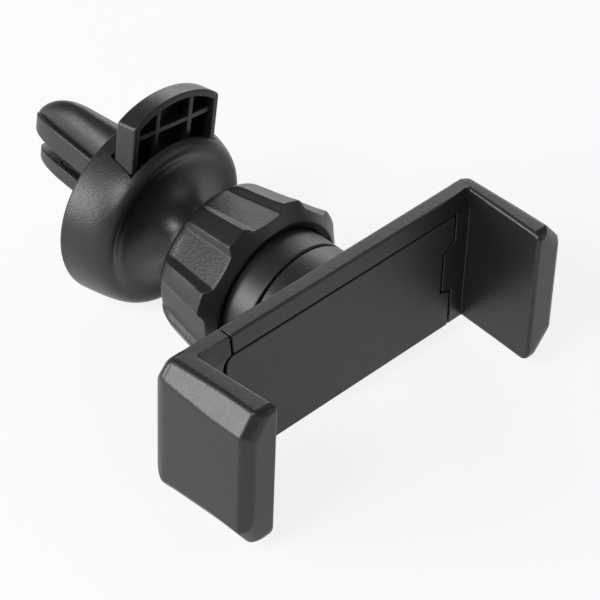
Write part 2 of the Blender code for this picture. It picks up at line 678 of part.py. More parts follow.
def collar_angles():
    """Angles round the collar: the lobe's edges and feet, with points between them."""
    half = 180.0 / LOBE_COUNT
    shares = [-LOBE_FOOT_SHARE, -LOBE_TOP_SHARE, 0.0, LOBE_TOP_SHARE, LOBE_FOOT_SHARE, 1.0]
    angles = []
    for lobe in range(LOBE_COUNT):
        middle = LOBE_TURN + 2 * half * lobe
        angles += [middle + share * half for share in shares]
    return angles


def build_locking_collar(material, frame, offset):
    """Tapered nut with lobes outside, an open mouth in front and a lip round the neck behind."""
    shoulder_y = COLLAR_FRONT_Y + COLLAR_FRONT_SLOPE
    bore = SOCKET_RADIUS + SEAT_GAP
    lip_sphere = LINER_OUTER + SEAT_GAP
    lip_front = COLLAR_REAR_Y - COLLAR_LIP
    throat = [math.sqrt(lip_sphere**2 - (y - BALL_Y) ** 2) for y in (COLLAR_REAR_Y, lip_front)]
    finger = math.sqrt(SEAT_RADIUS**2 - SOCKET_WRAP**2) + SOCKET_WALL + SEAT_GAP
    rear_start = COLLAR_REAR_Y - 2.4 * MM
    taper = (COLLAR_FRONT_RADIUS - COLLAR_REAR_RADIUS) / (COLLAR_REAR_Y - shoulder_y)
    rear_start_radius = COLLAR_FRONT_RADIUS - taper * (rear_start - shoulder_y)
    stations = [
        (COLLAR_MOUTH_RADIUS + SEAT_GAP, COLLAR_FRONT_Y, 0.0),
        (COLLAR_FRONT_RADIUS - SEAT_GAP, shoulder_y - SEAT_GAP, LOBE_HEIGHT),
        (COLLAR_FRONT_RADIUS, shoulder_y, LOBE_HEIGHT),
        (rear_start_radius, rear_start, LOBE_HEIGHT),
        (COLLAR_REAR_RADIUS - 0.2 * MM, COLLAR_REAR_Y - 0.9 * MM, 0.6 * LOBE_HEIGHT),
        (COLLAR_REAR_RADIUS - 0.9 * MM, COLLAR_REAR_Y, 0.0),
        (throat[0], COLLAR_REAR_Y, 0.0),
        (throat[1], lip_front, 0.0),
        (finger, lip_front - SEAT_GAP / 2, 0.0),
        (SEAT_RADIUS + SOCKET_WALL + SEAT_GAP, BALL_Y, 0.0),
        (bore, SOCKET_SHOULDER_Y + SEAT_GAP, 0.0),
        (bore, COLLAR_FRONT_Y + 1.6 * MM, 0.0),
        (COLLAR_MOUTH_RADIUS, COLLAR_FRONT_Y + 1.2 * MM, 0.0),
        (COLLAR_MOUTH_RADIUS, COLLAR_FRONT_Y + SEAT_GAP, 0.0),
    ]
    bm = bmesh.new()
    rows = []
    for radius, y, height in stations:
        row = []
        for angle in collar_angles():
            reach = collar_radius(angle, radius, height)
            turn = math.radians(angle)
            row.append(bm.verts.new((reach * math.cos(turn), y, reach * math.sin(turn))))
        rows.append(row)
    for low, high in zip(rows, rows[1:] + rows[:1]):
        for i in range(len(low)):
            j = (i + 1) % len(low)
            bm.faces.new((low[i], low[j], high[j], high[i]))
    return new_object("locking_collar", bm, material, frame, offset, smooth=25)


def dome_outline():
    """Outline of the base's moulding: ball, neck, dished front, rounded rim, side and inside."""
    dish_y = DOME_FRONT_Y + DISH_DEPTH
    fillet_y = dish_y - NECK_FILLET
    neck_angle = math.degrees(math.acos(NECK_RADIUS / BALL_RADIUS))
    outline = [(0.0, BALL_Y - BALL_RADIUS)]
    outline += arc((0.0, BALL_Y), (BALL_RADIUS, BALL_RADIUS), -90, neck_angle, 11)[1:]
    fillet = (NECK_RADIUS + NECK_FILLET, fillet_y)
    outline += arc(fillet, (NECK_FILLET, NECK_FILLET), 180, 90, 6)
    rim = (DOME_SHOULDER_RADIUS - DOME_FACE_RADIUS, DOME_SHOULDER_Y - DOME_FRONT_Y)
    outline += arc((DOME_FACE_RADIUS, DOME_SHOULDER_Y), rim, -90, 0, 6)
    seat_radius = DOME_BACK_RADIUS - SHELL_WALL
    seat_y = DOME_BACK_Y - COVER_THICKNESS - SEAT_GAP
    outline += [
        (DOME_BACK_RADIUS, DOME_BACK_Y - SEAT_GAP),
        (DOME_BACK_RADIUS - SEAT_GAP, DOME_BACK_Y),
        (seat_radius, DOME_BACK_Y),
        (seat_radius, seat_y),
        (seat_radius - COVER_SEAT, seat_y),
        (DOME_SHOULDER_RADIUS - SHELL_WALL, DOME_SHOULDER_Y),
    ]
    inner_y = dish_y + SHELL_WALL
    inner = (DOME_SHOULDER_RADIUS - SHELL_WALL - NECK_RADIUS - NECK_FILLET, DOME_SHOULDER_Y - inner_y)
    outline += arc((NECK_RADIUS + NECK_FILLET, DOME_SHOULDER_Y), inner, 0, -90, 4)[1:]
    outline += [
        (CORE_RADIUS + 2 * SEAT_GAP, inner_y),
        (CORE_RADIUS, inner_y - 2 * SEAT_GAP),
        (CORE_RADIUS, CORE_STEP_Y),
        (CORE_DEEP_RADIUS, CORE_STEP_Y),
        (CORE_DEEP_RADIUS, BALL_Y - BALL_FLOOR),
        (0.0, BALL_Y - 2 * BALL_FLOOR),
    ]
    return outline


def tab_slot(half_width):
    """Room for the tab, from below its root to above its top, at rest and pressed home."""
    low = TAB_ROOT - 5 * SEAT_GAP
    swing = math.tan(math.radians(LEVER_SWING))
    back_y = TAB_FRONT_Y + TAB_THICKNESS + SEAT_GAP
    section = [
        (TAB_FRONT_Y - SEAT_GAP, low),
        (TAB_FRONT_Y - SEAT_GAP, TAB_TOP),
        (back_y + swing * (TAB_TOP - PIVOT_Z), TAB_TOP),
        (back_y + swing * (low - PIVOT_Z), low),
    ]
    return along_x(section, -half_width, half_width)


def screw_places():
    """Centres of the rear cover's screws, in the base's own (x, z)."""
    places = []
    for turn in COVER_SCREW_TURNS:
        angle = math.radians(turn)
        places.append((COVER_SCREW_CIRCLE * math.cos(angle), COVER_SCREW_CIRCLE * math.sin(angle)))
    return places


def build_base_shell(material, frame):
    """Round housing in one piece with the neck and the ball, with the lever's slot and its ears."""
    shell = new_object("base_shell", revolve(dome_outline(), 48), material, frame, smooth=30)
    inner_y = DOME_FRONT_Y + DISH_DEPTH + SHELL_WALL
    seat_y = DOME_BACK_Y - COVER_THICKNESS - SEAT_GAP
    boss_radius = 2.2 * COVER_SCREW_RADIUS
    for index, place in enumerate(screw_places(), start=1):
        add(shell, f"screw_boss_{index}", rod_along_y(place, boss_radius, inner_y - SEAT_GAP, seat_y, 12))
        hole = rod_along_y(place, COVER_SCREW_RADIUS + PIN_GAP, inner_y, seat_y + SEAT_GAP, 12)
        cut(shell, f"screw_hole_{index}", hole)
    ear_inner = WEB_HALF_WIDTH + SEAT_GAP
    ear_half = PIVOT_BARREL + SEAT_GAP
    for index, side in enumerate((-1, 1), start=1):
        ear = block(
            sorted((side * ear_inner, side * (ear_inner + EAR_THICKNESS))),
            (inner_y - SEAT_GAP, PIVOT_Y + ear_half),
            (PIVOT_Z - ear_half, PIVOT_Z + ear_half),
        )
        add(shell, f"pivot_ear_{index}", ear)
    pin_hole = rod_along_x((PIVOT_Y, PIVOT_Z), PIN_RADIUS + PIN_GAP, -PIN_LENGTH / 2 - SEAT_GAP, PIN_LENGTH / 2 + SEAT_GAP)
    cut(shell, "pivot_hole", pin_hole)
    cut(shell, "lever_slot", tab_slot(TAB_HALF_WIDTH + SEAT_GAP))
    return shell


def prong_width(y):
    """Half width of a prong, which narrows towards its tip."""
    return PRONG_HALF_WIDTH - PRONG_TAPER * (y - DOME_BACK_Y)


def tip_share(y, tip_y, length, power):
    """Share of a section left at y on a prong whose last length is rounded; more power is slimmer."""
    along = max(0.0, (y - tip_y + length) / length)
    return max(0.005, 1 - along**2) ** power


def tip_stations(root_y, tip_y, length):
    """Places along a prong: its root, and closer and closer places on its rounded end."""
    return [root_y] + [tip_y - length * (1 - math.sin(math.radians(angle))) for angle in (0, 18, 36, 52, 66, 78, 88)]


def upper_prong_rings():
    """Rings of the upper prong: flat grip side, upright flanks, a ledge and an arched top."""
    rings = []
    middle = (UPPER_PRONG_BOTTOM + UPPER_PRONG_RIDGE) / 2
    flank = UPPER_PRONG_RIDGE - middle
    for y in tip_stations(DOME_BACK_Y - COVER_THICKNESS / 2, UPPER_PRONG_TIP_Y, ARCH_TIP_LENGTH):
        plan = tip_share(y, UPPER_PRONG_TIP_Y, PRONG_TIP_LENGTH, PRONG_TIP_POWER)
        half = prong_width(y) * plan
        top = UPPER_PRONG_TOP - UPPER_PRONG_DROP * (y - DOME_BACK_Y)
        rise = (top - UPPER_PRONG_RIDGE) * tip_share(y, UPPER_PRONG_TIP_Y, ARCH_TIP_LENGTH, ARCH_TIP_POWER)
        ridge = middle + flank * (0.3 + 0.7 * plan)
        bottom = middle - flank * (0.5 + 0.5 * plan)
        ledge = PRONG_LEDGE * plan
        section = [(-half, bottom), (-half, ridge - ledge / 2)]
        section += arc((0.0, ridge), (half - ledge, rise), 180, 0, 12)
        section += [(half, ridge - ledge / 2), (half, bottom)]
        rings.append([(x, y, z) for x, z in section])
    return rings


def lower_prong_rings():
    """Rings of the moving lower prong: flat grip side, upright flanks and a rounded underside."""
    rings = []
    middle = (LOWER_PRONG_TOP + LOWER_PRONG_BOTTOM) / 2
    depth = LOWER_PRONG_TOP - middle
    for y in tip_stations((WEB_FRONT_Y + WEB_BACK_Y) / 2, LOWER_PRONG_TIP_Y, PRONG_TIP_LENGTH):
        plan = tip_share(y, LOWER_PRONG_TIP_Y, PRONG_TIP_LENGTH, PRONG_TIP_POWER)
        half = prong_width(max(y, DOME_BACK_Y)) * plan
        top = middle + depth * (0.6 + 0.4 * plan)
        bottom = middle - depth * (0.3 + 0.7 * plan)
        edge = LOWER_PRONG_EDGE * plan
        section = [(-half, bottom + edge), (-half, top), (half, top), (half, bottom + edge)]
        section += [(half - edge, bottom), (-half + edge, bottom)]
        rings.append([(x, y, z) for x, z in section])
    return rings


def pad_block(face_z, outward, grow):
    """Pad between its proud grip face and its seat; grow opens it on every side for the pocket."""
    seat_z = face_z - outward * PAD_THICKNESS
    low, high = sorted((face_z + outward * 2 * grow, seat_z - outward * grow))
    return block(
        (-PAD_HALF_WIDTH - grow, PAD_HALF_WIDTH + grow),
        (PAD_FRONT_Y - grow, PAD_FRONT_Y + PAD_LENGTH + grow),
        (low, high),
    )


def build_rear_cover(material, frame):
    """Round cover of the housing, one piece with the fixed upper prong."""
    radius = DOME_BACK_RADIUS - SHELL_WALL - SEAT_GAP
    front_y = DOME_BACK_Y - COVER_THICKNESS
    outline = [
        (0.0, front_y),
        (radius, front_y),
        (radius, DOME_BACK_Y - SEAT_GAP),
        (radius - SEAT_GAP, DOME_BACK_Y),
        (0.0, DOME_BACK_Y),
    ]
    cover = new_object("rear_cover", revolve(outline, 44), material, frame, smooth=30)
    add(cover, "upper_prong", loft(upper_prong_rings()))
    cut(cover, "upper_pad_pocket", pad_block(PAD_FACE_Z, -1, SEAT_GAP))
    drop = math.tan(math.radians(LEVER_SWING)) * (DOME_BACK_Y - PIVOT_Y)
    window_half = PRONG_HALF_WIDTH + SEAT_GAP
    window = block(
        (-window_half, window_half),
        (front_y - SEAT_GAP, DOME_BACK_Y + SEAT_GAP),
        (LOWER_PRONG_BOTTOM - drop - 2 * SEAT_GAP, LOWER_PRONG_TOP + 2 * SEAT_GAP),
    )
    cut(cover, "lower_prong_window", window)
    for index, place in enumerate(screw_places(), start=1):
        hole = rod_along_y(place, COVER_SCREW_RADIUS + PIN_GAP, front_y - SEAT_GAP, DOME_BACK_Y + SEAT_GAP, 12)
        cut(cover, f"cover_hole_{index}", hole)
        sink = rod_along_y(place, 2 * COVER_SCREW_RADIUS + SEAT_GAP, DOME_BACK_Y - COVER_THICKNESS / 2,
                           DOME_BACK_Y + SEAT_GAP, 16)
        cut(cover, f"cover_counterbore_{index}", sink)
    return cover


def build_cover_screws(material, frame):
    """Three screws that hold the rear cover, driven from behind."""
    head_height = COVER_THICKNESS / 2
    seat_y = DOME_BACK_Y - COVER_THICKNESS / 2 + SEAT_GAP / 2
    for index, (x, z) in enumerate(screw_places(), start=1):
        name = f"rear_cover_screw_{index}"
        screw = build_pan_screw(name, frame, (x, seat_y, z), material, COVER_SCREW_RADIUS, 3.6 * MM,
                                2 * COVER_SCREW_RADIUS, head_height)
        screw.rotation_euler = (math.pi, 0.0, 0.0)
        for modifier in screw.modifiers:
            modifier.object.rotation_euler = screw.rotation_euler


def tab_outline(inset):
    """Half-moon outline of the thumb tab in (x, z), inset for its window."""
    half = TAB_HALF_WIDTH - inset
    sagitta = TAB_TOP - TAB_SHOULDER
    radius = (TAB_HALF_WIDTH**2 + sagitta**2) / (2 * sagitta)
    centre = TAB_TOP - radius
    reach = radius - inset
    spread = math.degrees(math.asin((half - SEAT_GAP) / reach))
    crown = arc((0.0, centre), (reach, reach), 90 + spread, 90 - spread, 12)
    foot = TAB_ROOT + inset / 3
    corner = crown[0][1] - SEAT_GAP
    return [(-half, foot), (-half, corner), *crown, (half, corner), (half, foot)]


def build_release_lever(material, frame, offset):
    """Thumb tab with its window grid, the web down to the pivot and the lower prong."""
    back_y = TAB_FRONT_Y + TAB_THICKNESS
    front_ring = [(x, TAB_FRONT_Y, z) for x, z in tab_outline(0.0)]
    scale = (TAB_TOP - TAB_BACK_DROP - TAB_ROOT) / (TAB_TOP - TAB_ROOT)
    back_ring = [(x, back_y, TAB_ROOT + (z - TAB_ROOT) * scale) for x, z in tab_outline(0.0)]
    lever = new_object("release_lever", loft([front_ring, back_ring]), material, frame, offset)
    pocket = along_y(tab_outline(TAB_WALL), TAB_FRONT_Y - SEAT_GAP, back_y - TAB_FLOOR)
    cut(lever, "tab_window", pocket)
    rib_front = TAB_FRONT_Y + 0.6 * MM
    inner_half = TAB_HALF_WIDTH - TAB_WALL / 2
    for index, side in enumerate((-1, 1), start=1):
        centre = side * TAB_RIB_SPREAD / 2
        top = TAB_TOP - TAB_WALL - 0.45 * MM
        rib = block(
            (centre - TAB_RIB / 2, centre + TAB_RIB / 2),
            (rib_front, back_y - TAB_FLOOR / 2),
            (TAB_ROOT + TAB_WALL / 4, top),
        )
        add(lever, f"tab_rib_{index}", rib)
    cross_rib = block(
        (-inner_half, inner_half),
        (rib_front, back_y - TAB_FLOOR / 2),
        (TAB_RIB_HEIGHT - TAB_RIB / 2, TAB_RIB_HEIGHT + TAB_RIB / 2),
    )
    add(lever, "tab_cross_rib", cross_rib)
    web = block(
        (-WEB_HALF_WIDTH, WEB_HALF_WIDTH),
        (WEB_FRONT_Y, WEB_BACK_Y),
        (LOWER_PRONG_BOTTOM, TAB_ROOT + SEAT_GAP),
    )
    add(lever, "lever_web", web)
    barrel = rod_along_x((PIVOT_Y, PIVOT_Z), PIVOT_BARREL, -WEB_HALF_WIDTH, WEB_HALF_WIDTH, 20)
    add(lever, "pivot_barrel", barrel)
    add(lever, "lower_prong", loft(lower_prong_rings()))
    bore = rod_along_x((PIVOT_Y, PIVOT_Z), PIN_RADIUS + PIN_GAP, -TAB_HALF_WIDTH, TAB_HALF_WIDTH, 16)
    cut(lever, "pivot_bore", bore)
    face_z = LOWER_PRONG_TOP + PAD_PROUD
    cut(lever, "lower_pad_pocket", pad_block(face_z, 1, SEAT_GAP))
    return lever


def build_lever_pin(material, frame, offset):
    """Pin that the release lever turns on."""
    half = PIN_LENGTH / 2
    pin = rod_along_x((PIVOT_Y, PIVOT_Z), PIN_RADIUS, -half, half)
    return new_object("lever_pin", pin, material, frame, offset, smooth=30)


def build_clamp_spring(material, frame, offset):
    """Compression spring from the step in the hollow neck to the lever's web."""
    start = CORE_STEP_Y + SEAT_GAP / 2 + CLAMP_SPRING_WIRE
    end = WEB_FRONT_Y - SEAT_GAP / 2 - CLAMP_SPRING_WIRE
    middle = CLAMP_SPRING_RADIUS - CLAMP_SPRING_WIRE
    steps = CLAMP_SPRING_TURNS * 12
    points = []
    for step in range(steps + 1):
        turn = 2 * math.pi * step / 12
        share = min(1.0, max(0.0, (step - 8) / (steps - 16)))
        y = start + (end - start) * share
        points.append((middle * math.cos(turn), y, middle * math.sin(turn)))
    return wire("clamp_spring", points, CLAMP_SPRING_WIRE, material, frame, offset, 1)


def main():
    for piece in list(bpy.data.objects):
        bpy.data.objects.remove(piece, do_unlink=True)

    satin = new_material("satin_black_plastic", (0.022, 0.022, 0.023), 0.48)
    matte = new_material("matte_black_plastic", (0.018, 0.018, 0.019), 0.62)
    slick = new_material("slick_black_plastic", (0.02, 0.02, 0.022), 0.35)
    rubber = new_material("black_rubber", (0.012, 0.012, 0.012), 0.8)
    steel = new_material("zinc_steel", (0.6, 0.6, 0.58), 0.3, 1.0)

    roll = math.radians(BASE_ROLL)
    grip = Vector((BOSS_X + PAD_FACE_Z * math.sin(roll), GRIP_Y, BOSS_Z + PAD_FACE_Z * math.cos(roll)))
    holder = new_empty("holder_frame", None, -grip)
    base = new_empty("base_frame", holder, (BOSS_X, 0.0, BOSS_Z), BASE_ROLL)
    pivot = new_empty("lever_pivot", base, (0.0, PIVOT_Y, PIVOT_Z))
    ball = new_empty("ball_centre", holder, (BOSS_X, BALL_Y, BOSS_Z))
    on_axis = (0.0, -BALL_Y, 0.0)
    in_cradle = (-BOSS_X, -BALL_Y, -BOSS_Z)
    on_pivot = (0.0, -PIVOT_Y, -PIVOT_Z)

    build_base_shell(satin, base)
    build_rear_cover(satin, base)
    build_cover_screws(steel, base)
    build_lever_pin(steel, base, (0.0, 0.0, 0.0))
    build_clamp_spring(steel, base, (0.0, 0.0, 0.0))
    new_object("upper_grip_pad", pad_block(PAD_FACE_Z, -1, 0.0), rubber, base)
    build_release_lever(satin, pivot, on_pivot)
    new_object("lower_grip_pad", pad_block(LOWER_PRONG_TOP + PAD_PROUD, 1, 0.0), rubber, pivot, on_pivot)
    build_ball_liner(rubber, ball, on_axis)
    build_locking_collar(satin, ball, on_axis)
    build_ball_socket(slick, ball, on_axis)
    build_socket_fixing(steel, ball)
    build_cradle_housing(satin, ball, in_cradle)
    build_front_plate(matte, ball, in_cradle)
    build_sliding_jaw(satin, ball, in_cradle)
    build_jaw_spring("jaw_spring_upper", 1, steel, ball, in_cradle)
    build_jaw_spring("jaw_spring_lower", -1, steel, ball, in_cradle)


if __name__ == "__main__":
    main()
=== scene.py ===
"""Air vent phone holder: finished pieces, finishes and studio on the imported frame."""

import logging
import math
from collections.abc import Callable, Sequence
from dataclasses import dataclass
from enum import Enum

import bmesh
import bpy
from mathutils import Matrix, Vector


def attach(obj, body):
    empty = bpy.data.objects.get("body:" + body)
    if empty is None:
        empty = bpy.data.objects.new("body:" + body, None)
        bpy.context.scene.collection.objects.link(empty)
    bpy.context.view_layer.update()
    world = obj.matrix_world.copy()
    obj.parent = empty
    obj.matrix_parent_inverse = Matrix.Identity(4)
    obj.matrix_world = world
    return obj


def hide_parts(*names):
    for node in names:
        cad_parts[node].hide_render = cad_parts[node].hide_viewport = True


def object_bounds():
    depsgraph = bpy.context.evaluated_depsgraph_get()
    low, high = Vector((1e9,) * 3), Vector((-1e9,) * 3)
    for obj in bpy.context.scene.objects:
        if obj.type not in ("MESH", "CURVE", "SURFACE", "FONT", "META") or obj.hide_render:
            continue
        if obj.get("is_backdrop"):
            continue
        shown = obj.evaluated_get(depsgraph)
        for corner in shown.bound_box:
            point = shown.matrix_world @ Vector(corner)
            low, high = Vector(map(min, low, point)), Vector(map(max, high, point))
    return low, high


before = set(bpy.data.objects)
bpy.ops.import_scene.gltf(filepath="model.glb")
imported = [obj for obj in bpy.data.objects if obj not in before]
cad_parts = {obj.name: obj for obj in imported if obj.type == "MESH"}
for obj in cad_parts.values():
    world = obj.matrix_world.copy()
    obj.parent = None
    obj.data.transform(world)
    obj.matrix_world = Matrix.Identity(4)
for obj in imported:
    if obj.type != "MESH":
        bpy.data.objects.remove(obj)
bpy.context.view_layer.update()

LOG = logging.getLogger("phone_holder")

Point = tuple[float, float]
Corner = tuple[float, float, float]

# Places, in millimetres. The cradle's own frame counts from the face of its plate and the middle
# between its jaws; the model's origin is the middle of the clip's upper grip pad.
GRIP = Vector((-0.3920, 50.5, 1.39415))
BOSS = Vector((-0.5, 0.0, 0.4))
BASE_ROLL = 6.2
CRADLE_PLACE = Matrix.Translation(-GRIP)
JOINT_PLACE = CRADLE_PLACE @ Matrix.Translation(BOSS)
BASE_PLACE = JOINT_PLACE @ Matrix.Rotation(math.radians(BASE_ROLL), 4, "Y")
GAP = 0.3
# Points closer together than this are merged before a piece is finished.
SLIVER = 0.0005
# Softened edge of a drawn shape: places along it, each with how far the section is pulled in.
SOFT_EDGE = ((0.0, 0.18), (0.03, 0.1), (0.09, 0.03), (0.18, 0.0))


class Axis(Enum):
    """Direction that a section is drawn out along."""

    X = "x"
    Y = "y"
    Z = "z"

    def point(self, along: float, u: float, v: float) -> Vector:
        """Where the section point (u, v) lies at a place along this direction."""
        order = {"x": (along, u, v), "y": (u, along, v), "z": (u, v, along)}
        return Vector(order[self.value])


def arc(centre: Point, radii: Point, start: float, end: float, steps: int) -> list[Point]:
    """Points on an ellipse arc, both ends included.

    Args:
        centre: Middle of the ellipse.
        radii: Its two half axes.
        start: First angle, in degrees.
        end: Last angle, in degrees.
        steps: Number of stretches.

    Returns:
        The points in order.
    """
    angles = [math.radians(start + (end - start) * step / steps) for step in range(steps + 1)]
    return [(centre[0] + radii[0] * math.cos(a), centre[1] + radii[1] * math.sin(a)) for a in angles]


def curve(points: Sequence[Point], steps: int) -> list[Point]:
    """Points on a cubic Bezier curve, both ends included.

    Args:
        points: Its two ends with the two handles between them.
        steps: Number of stretches.

    Returns:
        The points in order.
    """
    start, leave, arrive, end = (Vector(point) for point in points)
    places = []
    for step in range(steps + 1):
        t = step / steps
        near = start * (1 - t) ** 3 + leave * (3 * t * (1 - t) ** 2)
        far = arrive * (3 * t * t * (1 - t)) + end * t**3
        places.append(tuple(near + far))
    return places


def rounding(depth: float, radius: float) -> float:
    """How far a rounded edge falls back at a depth below its face.

    Args:
        depth: Distance from the face, 0 on the face.
        radius: Radius of the edge.

    Returns:
        The setback, from the radius on the face to 0 where the rounding ends.
    """
    inside = min(1.0, max(0.0, (radius - depth) / radius))
    return radius * (1 - math.sqrt(1 - inside**2))


def filleted(corners: Sequence[Corner], closed: bool = True, steps: int = 4) -> list[Point]:
    """Rounds the corners of an outline.

    Args:
        corners: Corner points, each with its radius; 0 leaves the corner sharp.
        closed: Whether the last corner joins the first.
        steps: Number of stretches in each rounded corner.

    Returns:
        The points of the rounded outline.
    """
    points: list[Point] = []
    count = len(corners)
    for index, (u, v, radius) in enumerate(corners):
        if radius <= 0.0 or (not closed and index in (0, count - 1)):
            points.append((u, v))
            continue
        here = Vector((u, v))
        before = (Vector(corners[index - 1][:2]) - here).normalized()
        after = (Vector(corners[(index + 1) % count][:2]) - here).normalized()
        half = before.angle(after) / 2
        centre = here + (before + after).normalized() * (radius / math.sin(half))
        first = here + before * (radius / math.tan(half)) - centre
        last = here + after * (radius / math.tan(half)) - centre
        begin = math.atan2(first.y, first.x)
        sweep = (math.atan2(last.y, last.x) - begin + math.pi) % (2 * math.pi) - math.pi
        for step in range(steps + 1):
            angle = begin + sweep * step / steps
            points.append((centre.x + radius * math.cos(angle), centre.y + radius * math.sin(angle)))
    return points


class Form:
    """A shape in the making, in millimetres in its own frame."""

    def __init__(self, bm: bmesh.types.BMesh) -> None:
        """Takes over a bmesh."""
        self.bm = bm

    @classmethod
    def turned(cls, outline: Sequence[Point], steps: int, closed: bool = False) -> "Form":
        """Turns a (radius, y) outline about the Y axis.

        Args:
            outline: Points of the outline.
            steps: Number of steps in the full turn.
            closed: Whether the outline closes on itself off the axis.

        Returns:
            The round shape.
        """
        bm = bmesh.new()
        verts = [bm.verts.new((radius, y, 0.0)) for radius, y in outline]
        edges = [bm.edges.new(pair) for pair in zip(verts, verts[1:])]
        if closed:
            edges.append(bm.edges.new((verts[-1], verts[0])))
        bmesh.ops.spin(
            bm,
            geom=verts + edges,
            cent=(0.0, 0.0, 0.0),
            axis=(0.0, 1.0, 0.0),
            dvec=(0.0, 0.0, 0.0),
            angle=2 * math.pi,
            steps=steps,
            use_merge=True,
        )
        bmesh.ops.remove_doubles(bm, verts=bm.verts[:], dist=1e-4)
        bmesh.ops.recalc_face_normals(bm, faces=bm.faces[:])
        return cls(bm)

    @classmethod
    def drawn(cls, outline: Sequence[Point], axis: Axis, stations: Sequence[float]) -> "Form":
        """Draws a section out along an axis.

        Args:
            outline: Corner points of the section.
            axis: Direction of the draw.
            stations: Places along it where the shape gets a ring of points.

        Returns:
            The closed prism.
        """
        bm = bmesh.new()
        face = bm.faces.new([bm.verts.new(axis.point(stations[0], u, v)) for u, v in outline])
        for index, (here, there) in enumerate(zip(stations, stations[1:])):
            grown = bmesh.ops.extrude_face_region(bm, geom=[face, *face.edges], use_keep_orig=index == 0)
            face = next(part for part in grown["geom"] if isinstance(part, bmesh.types.BMFace))
            bmesh.ops.translate(bm, verts=face.verts[:], vec=axis.point(there - here, 0.0, 0.0))
        bmesh.ops.recalc_face_normals(bm, faces=bm.faces[:])
        return cls(bm)

    @classmethod
    def lofted(cls, rings: Sequence[Sequence[Vector]]) -> "Form":
        """Draws a section out through rings of equally many points.

        Args:
            rings: The rings, from one end of the shape to the other.

        Returns:
            The closed shape.
        """
        bm = bmesh.new()
        face = bm.faces.new([bm.verts.new(point) for point in rings[0]])
        for index, ring in enumerate(rings[1:]):
            grown = bmesh.ops.extrude_face_region(bm, geom=[face, *face.edges], use_keep_orig=index == 0)
            face = next(part for part in grown["geom"] if isinstance(part, bmesh.types.BMFace))
            last = rings[index]
            for vert in face.verts:
                nearest = min(range(len(last)), key=lambda k: (last[k] - vert.co).length_squared)
                vert.co = ring[nearest]
        bmesh.ops.recalc_face_normals(bm, faces=bm.faces[:])
        return cls(bm)

    @classmethod
    def block(cls, x: Point, y: Point, z: Point) -> "Form":
        """A box between three pairs of limits."""
        return cls.drawn([(y[0], z[0]), (y[0], z[1]), (y[1], z[1]), (y[1], z[0])], Axis.X, x)

    @classmethod
    def rod(cls, centre: Point, radius: float, axis: Axis, ends: Point, steps: int = 48) -> "Form":
        """A round rod along an axis about a centre in the section."""
        return cls.drawn(arc(centre, (radius, radius), 0, 360, steps)[:-1], axis, ends)

    def warp(self, move: Callable[[Vector], Vector]) -> "Form":
        """Moves every point.

        Args:
            move: Rule that gives a point's new place.

        Returns:
            This shape.
        """
        for vert in self.bm.verts:
            vert.co = move(vert.co.copy())
        return self

    def mirrored(self) -> "Form":
        """Turns a right-hand shape into a left-hand one.

        Returns:
            This shape.
        """
        bmesh.ops.scale(self.bm, vec=(-1.0, 1.0, 1.0), verts=self.bm.verts[:])
        bmesh.ops.recalc_face_normals(self.bm, faces=self.bm.faces[:])
        return self

    def rounded(
        self,
        radius: float,
        where: Callable[[Vector, Vector], bool] | None = None,
        segments: int = 3,
        sharper: float = 25.0,
    ) -> "Form":
        """Rounds outer edges.

        Args:
            radius: Width of the rounding on each side of the edge.
            where: Rule on an edge's two ends; without it every sharp edge is rounded.
            segments: Steps across the rounding.
            sharper: Only edges that bend by more than this, in degrees, are rounded.

        Returns:
            This shape.
        """
        edges = []
        for edge in self.bm.edges:
            if len(edge.link_faces) != 2 or not edge.is_convex:
                continue
            if edge.calc_face_angle() < math.radians(sharper):
                continue
            if where is None or where(edge.verts[0].co, edge.verts[1].co):
                edges.append(edge)
        bmesh.ops.bevel(
            self.bm,
            geom=edges,
            offset=radius,
            offset_type="OFFSET",
            segments=segments,
            profile=0.5,
            affect="EDGES",
            clamp_overlap=True,
            material=-1,
        )
        return self

    def _stand(self, name: str) -> bpy.types.Object:
        """Puts the shape in the scene for a moment.

        Args:
            name: Name of the object.

        Returns:
            The object, in millimetres.
        """
        mesh = bpy.data.meshes.new(name)
        self.bm.to_mesh(mesh)
        piece = bpy.data.objects.new(name, mesh)
        bpy.context.collection.objects.link(piece)
        return piece

    def _combine(self, other: "Form", operation: str) -> "Form":
        """Joins another shape to this one or cuts it away.

        Args:
            other: The other shape, which is used up.
            operation: The Boolean modifier's operation.

        Returns:
            This shape.
        """
        target, tool = self._stand("target"), other._stand("tool")
        modifier = target.modifiers.new("combine", "BOOLEAN")
        modifier.operation = operation
        modifier.object = tool
        modifier.solver = "EXACT"
        graph = bpy.context.evaluated_depsgraph_get()
        mesh = bpy.data.meshes.new_from_object(target.evaluated_get(graph))
        self.bm.clear()
        self.bm.from_mesh(mesh)
        for piece in (target, tool):
            old = piece.data
            bpy.data.objects.remove(piece, do_unlink=True)
            bpy.data.meshes.remove(old)
        bpy.data.meshes.remove(mesh)
        other.bm.free()
        return self

    def join(self, other: "Form") -> "Form":
        """Makes one solid of this shape and another."""
        return self._combine(other, "UNION")

    def cut(self, other: "Form") -> "Form":
        """Cuts another shape away."""
        return self._combine(other, "DIFFERENCE")

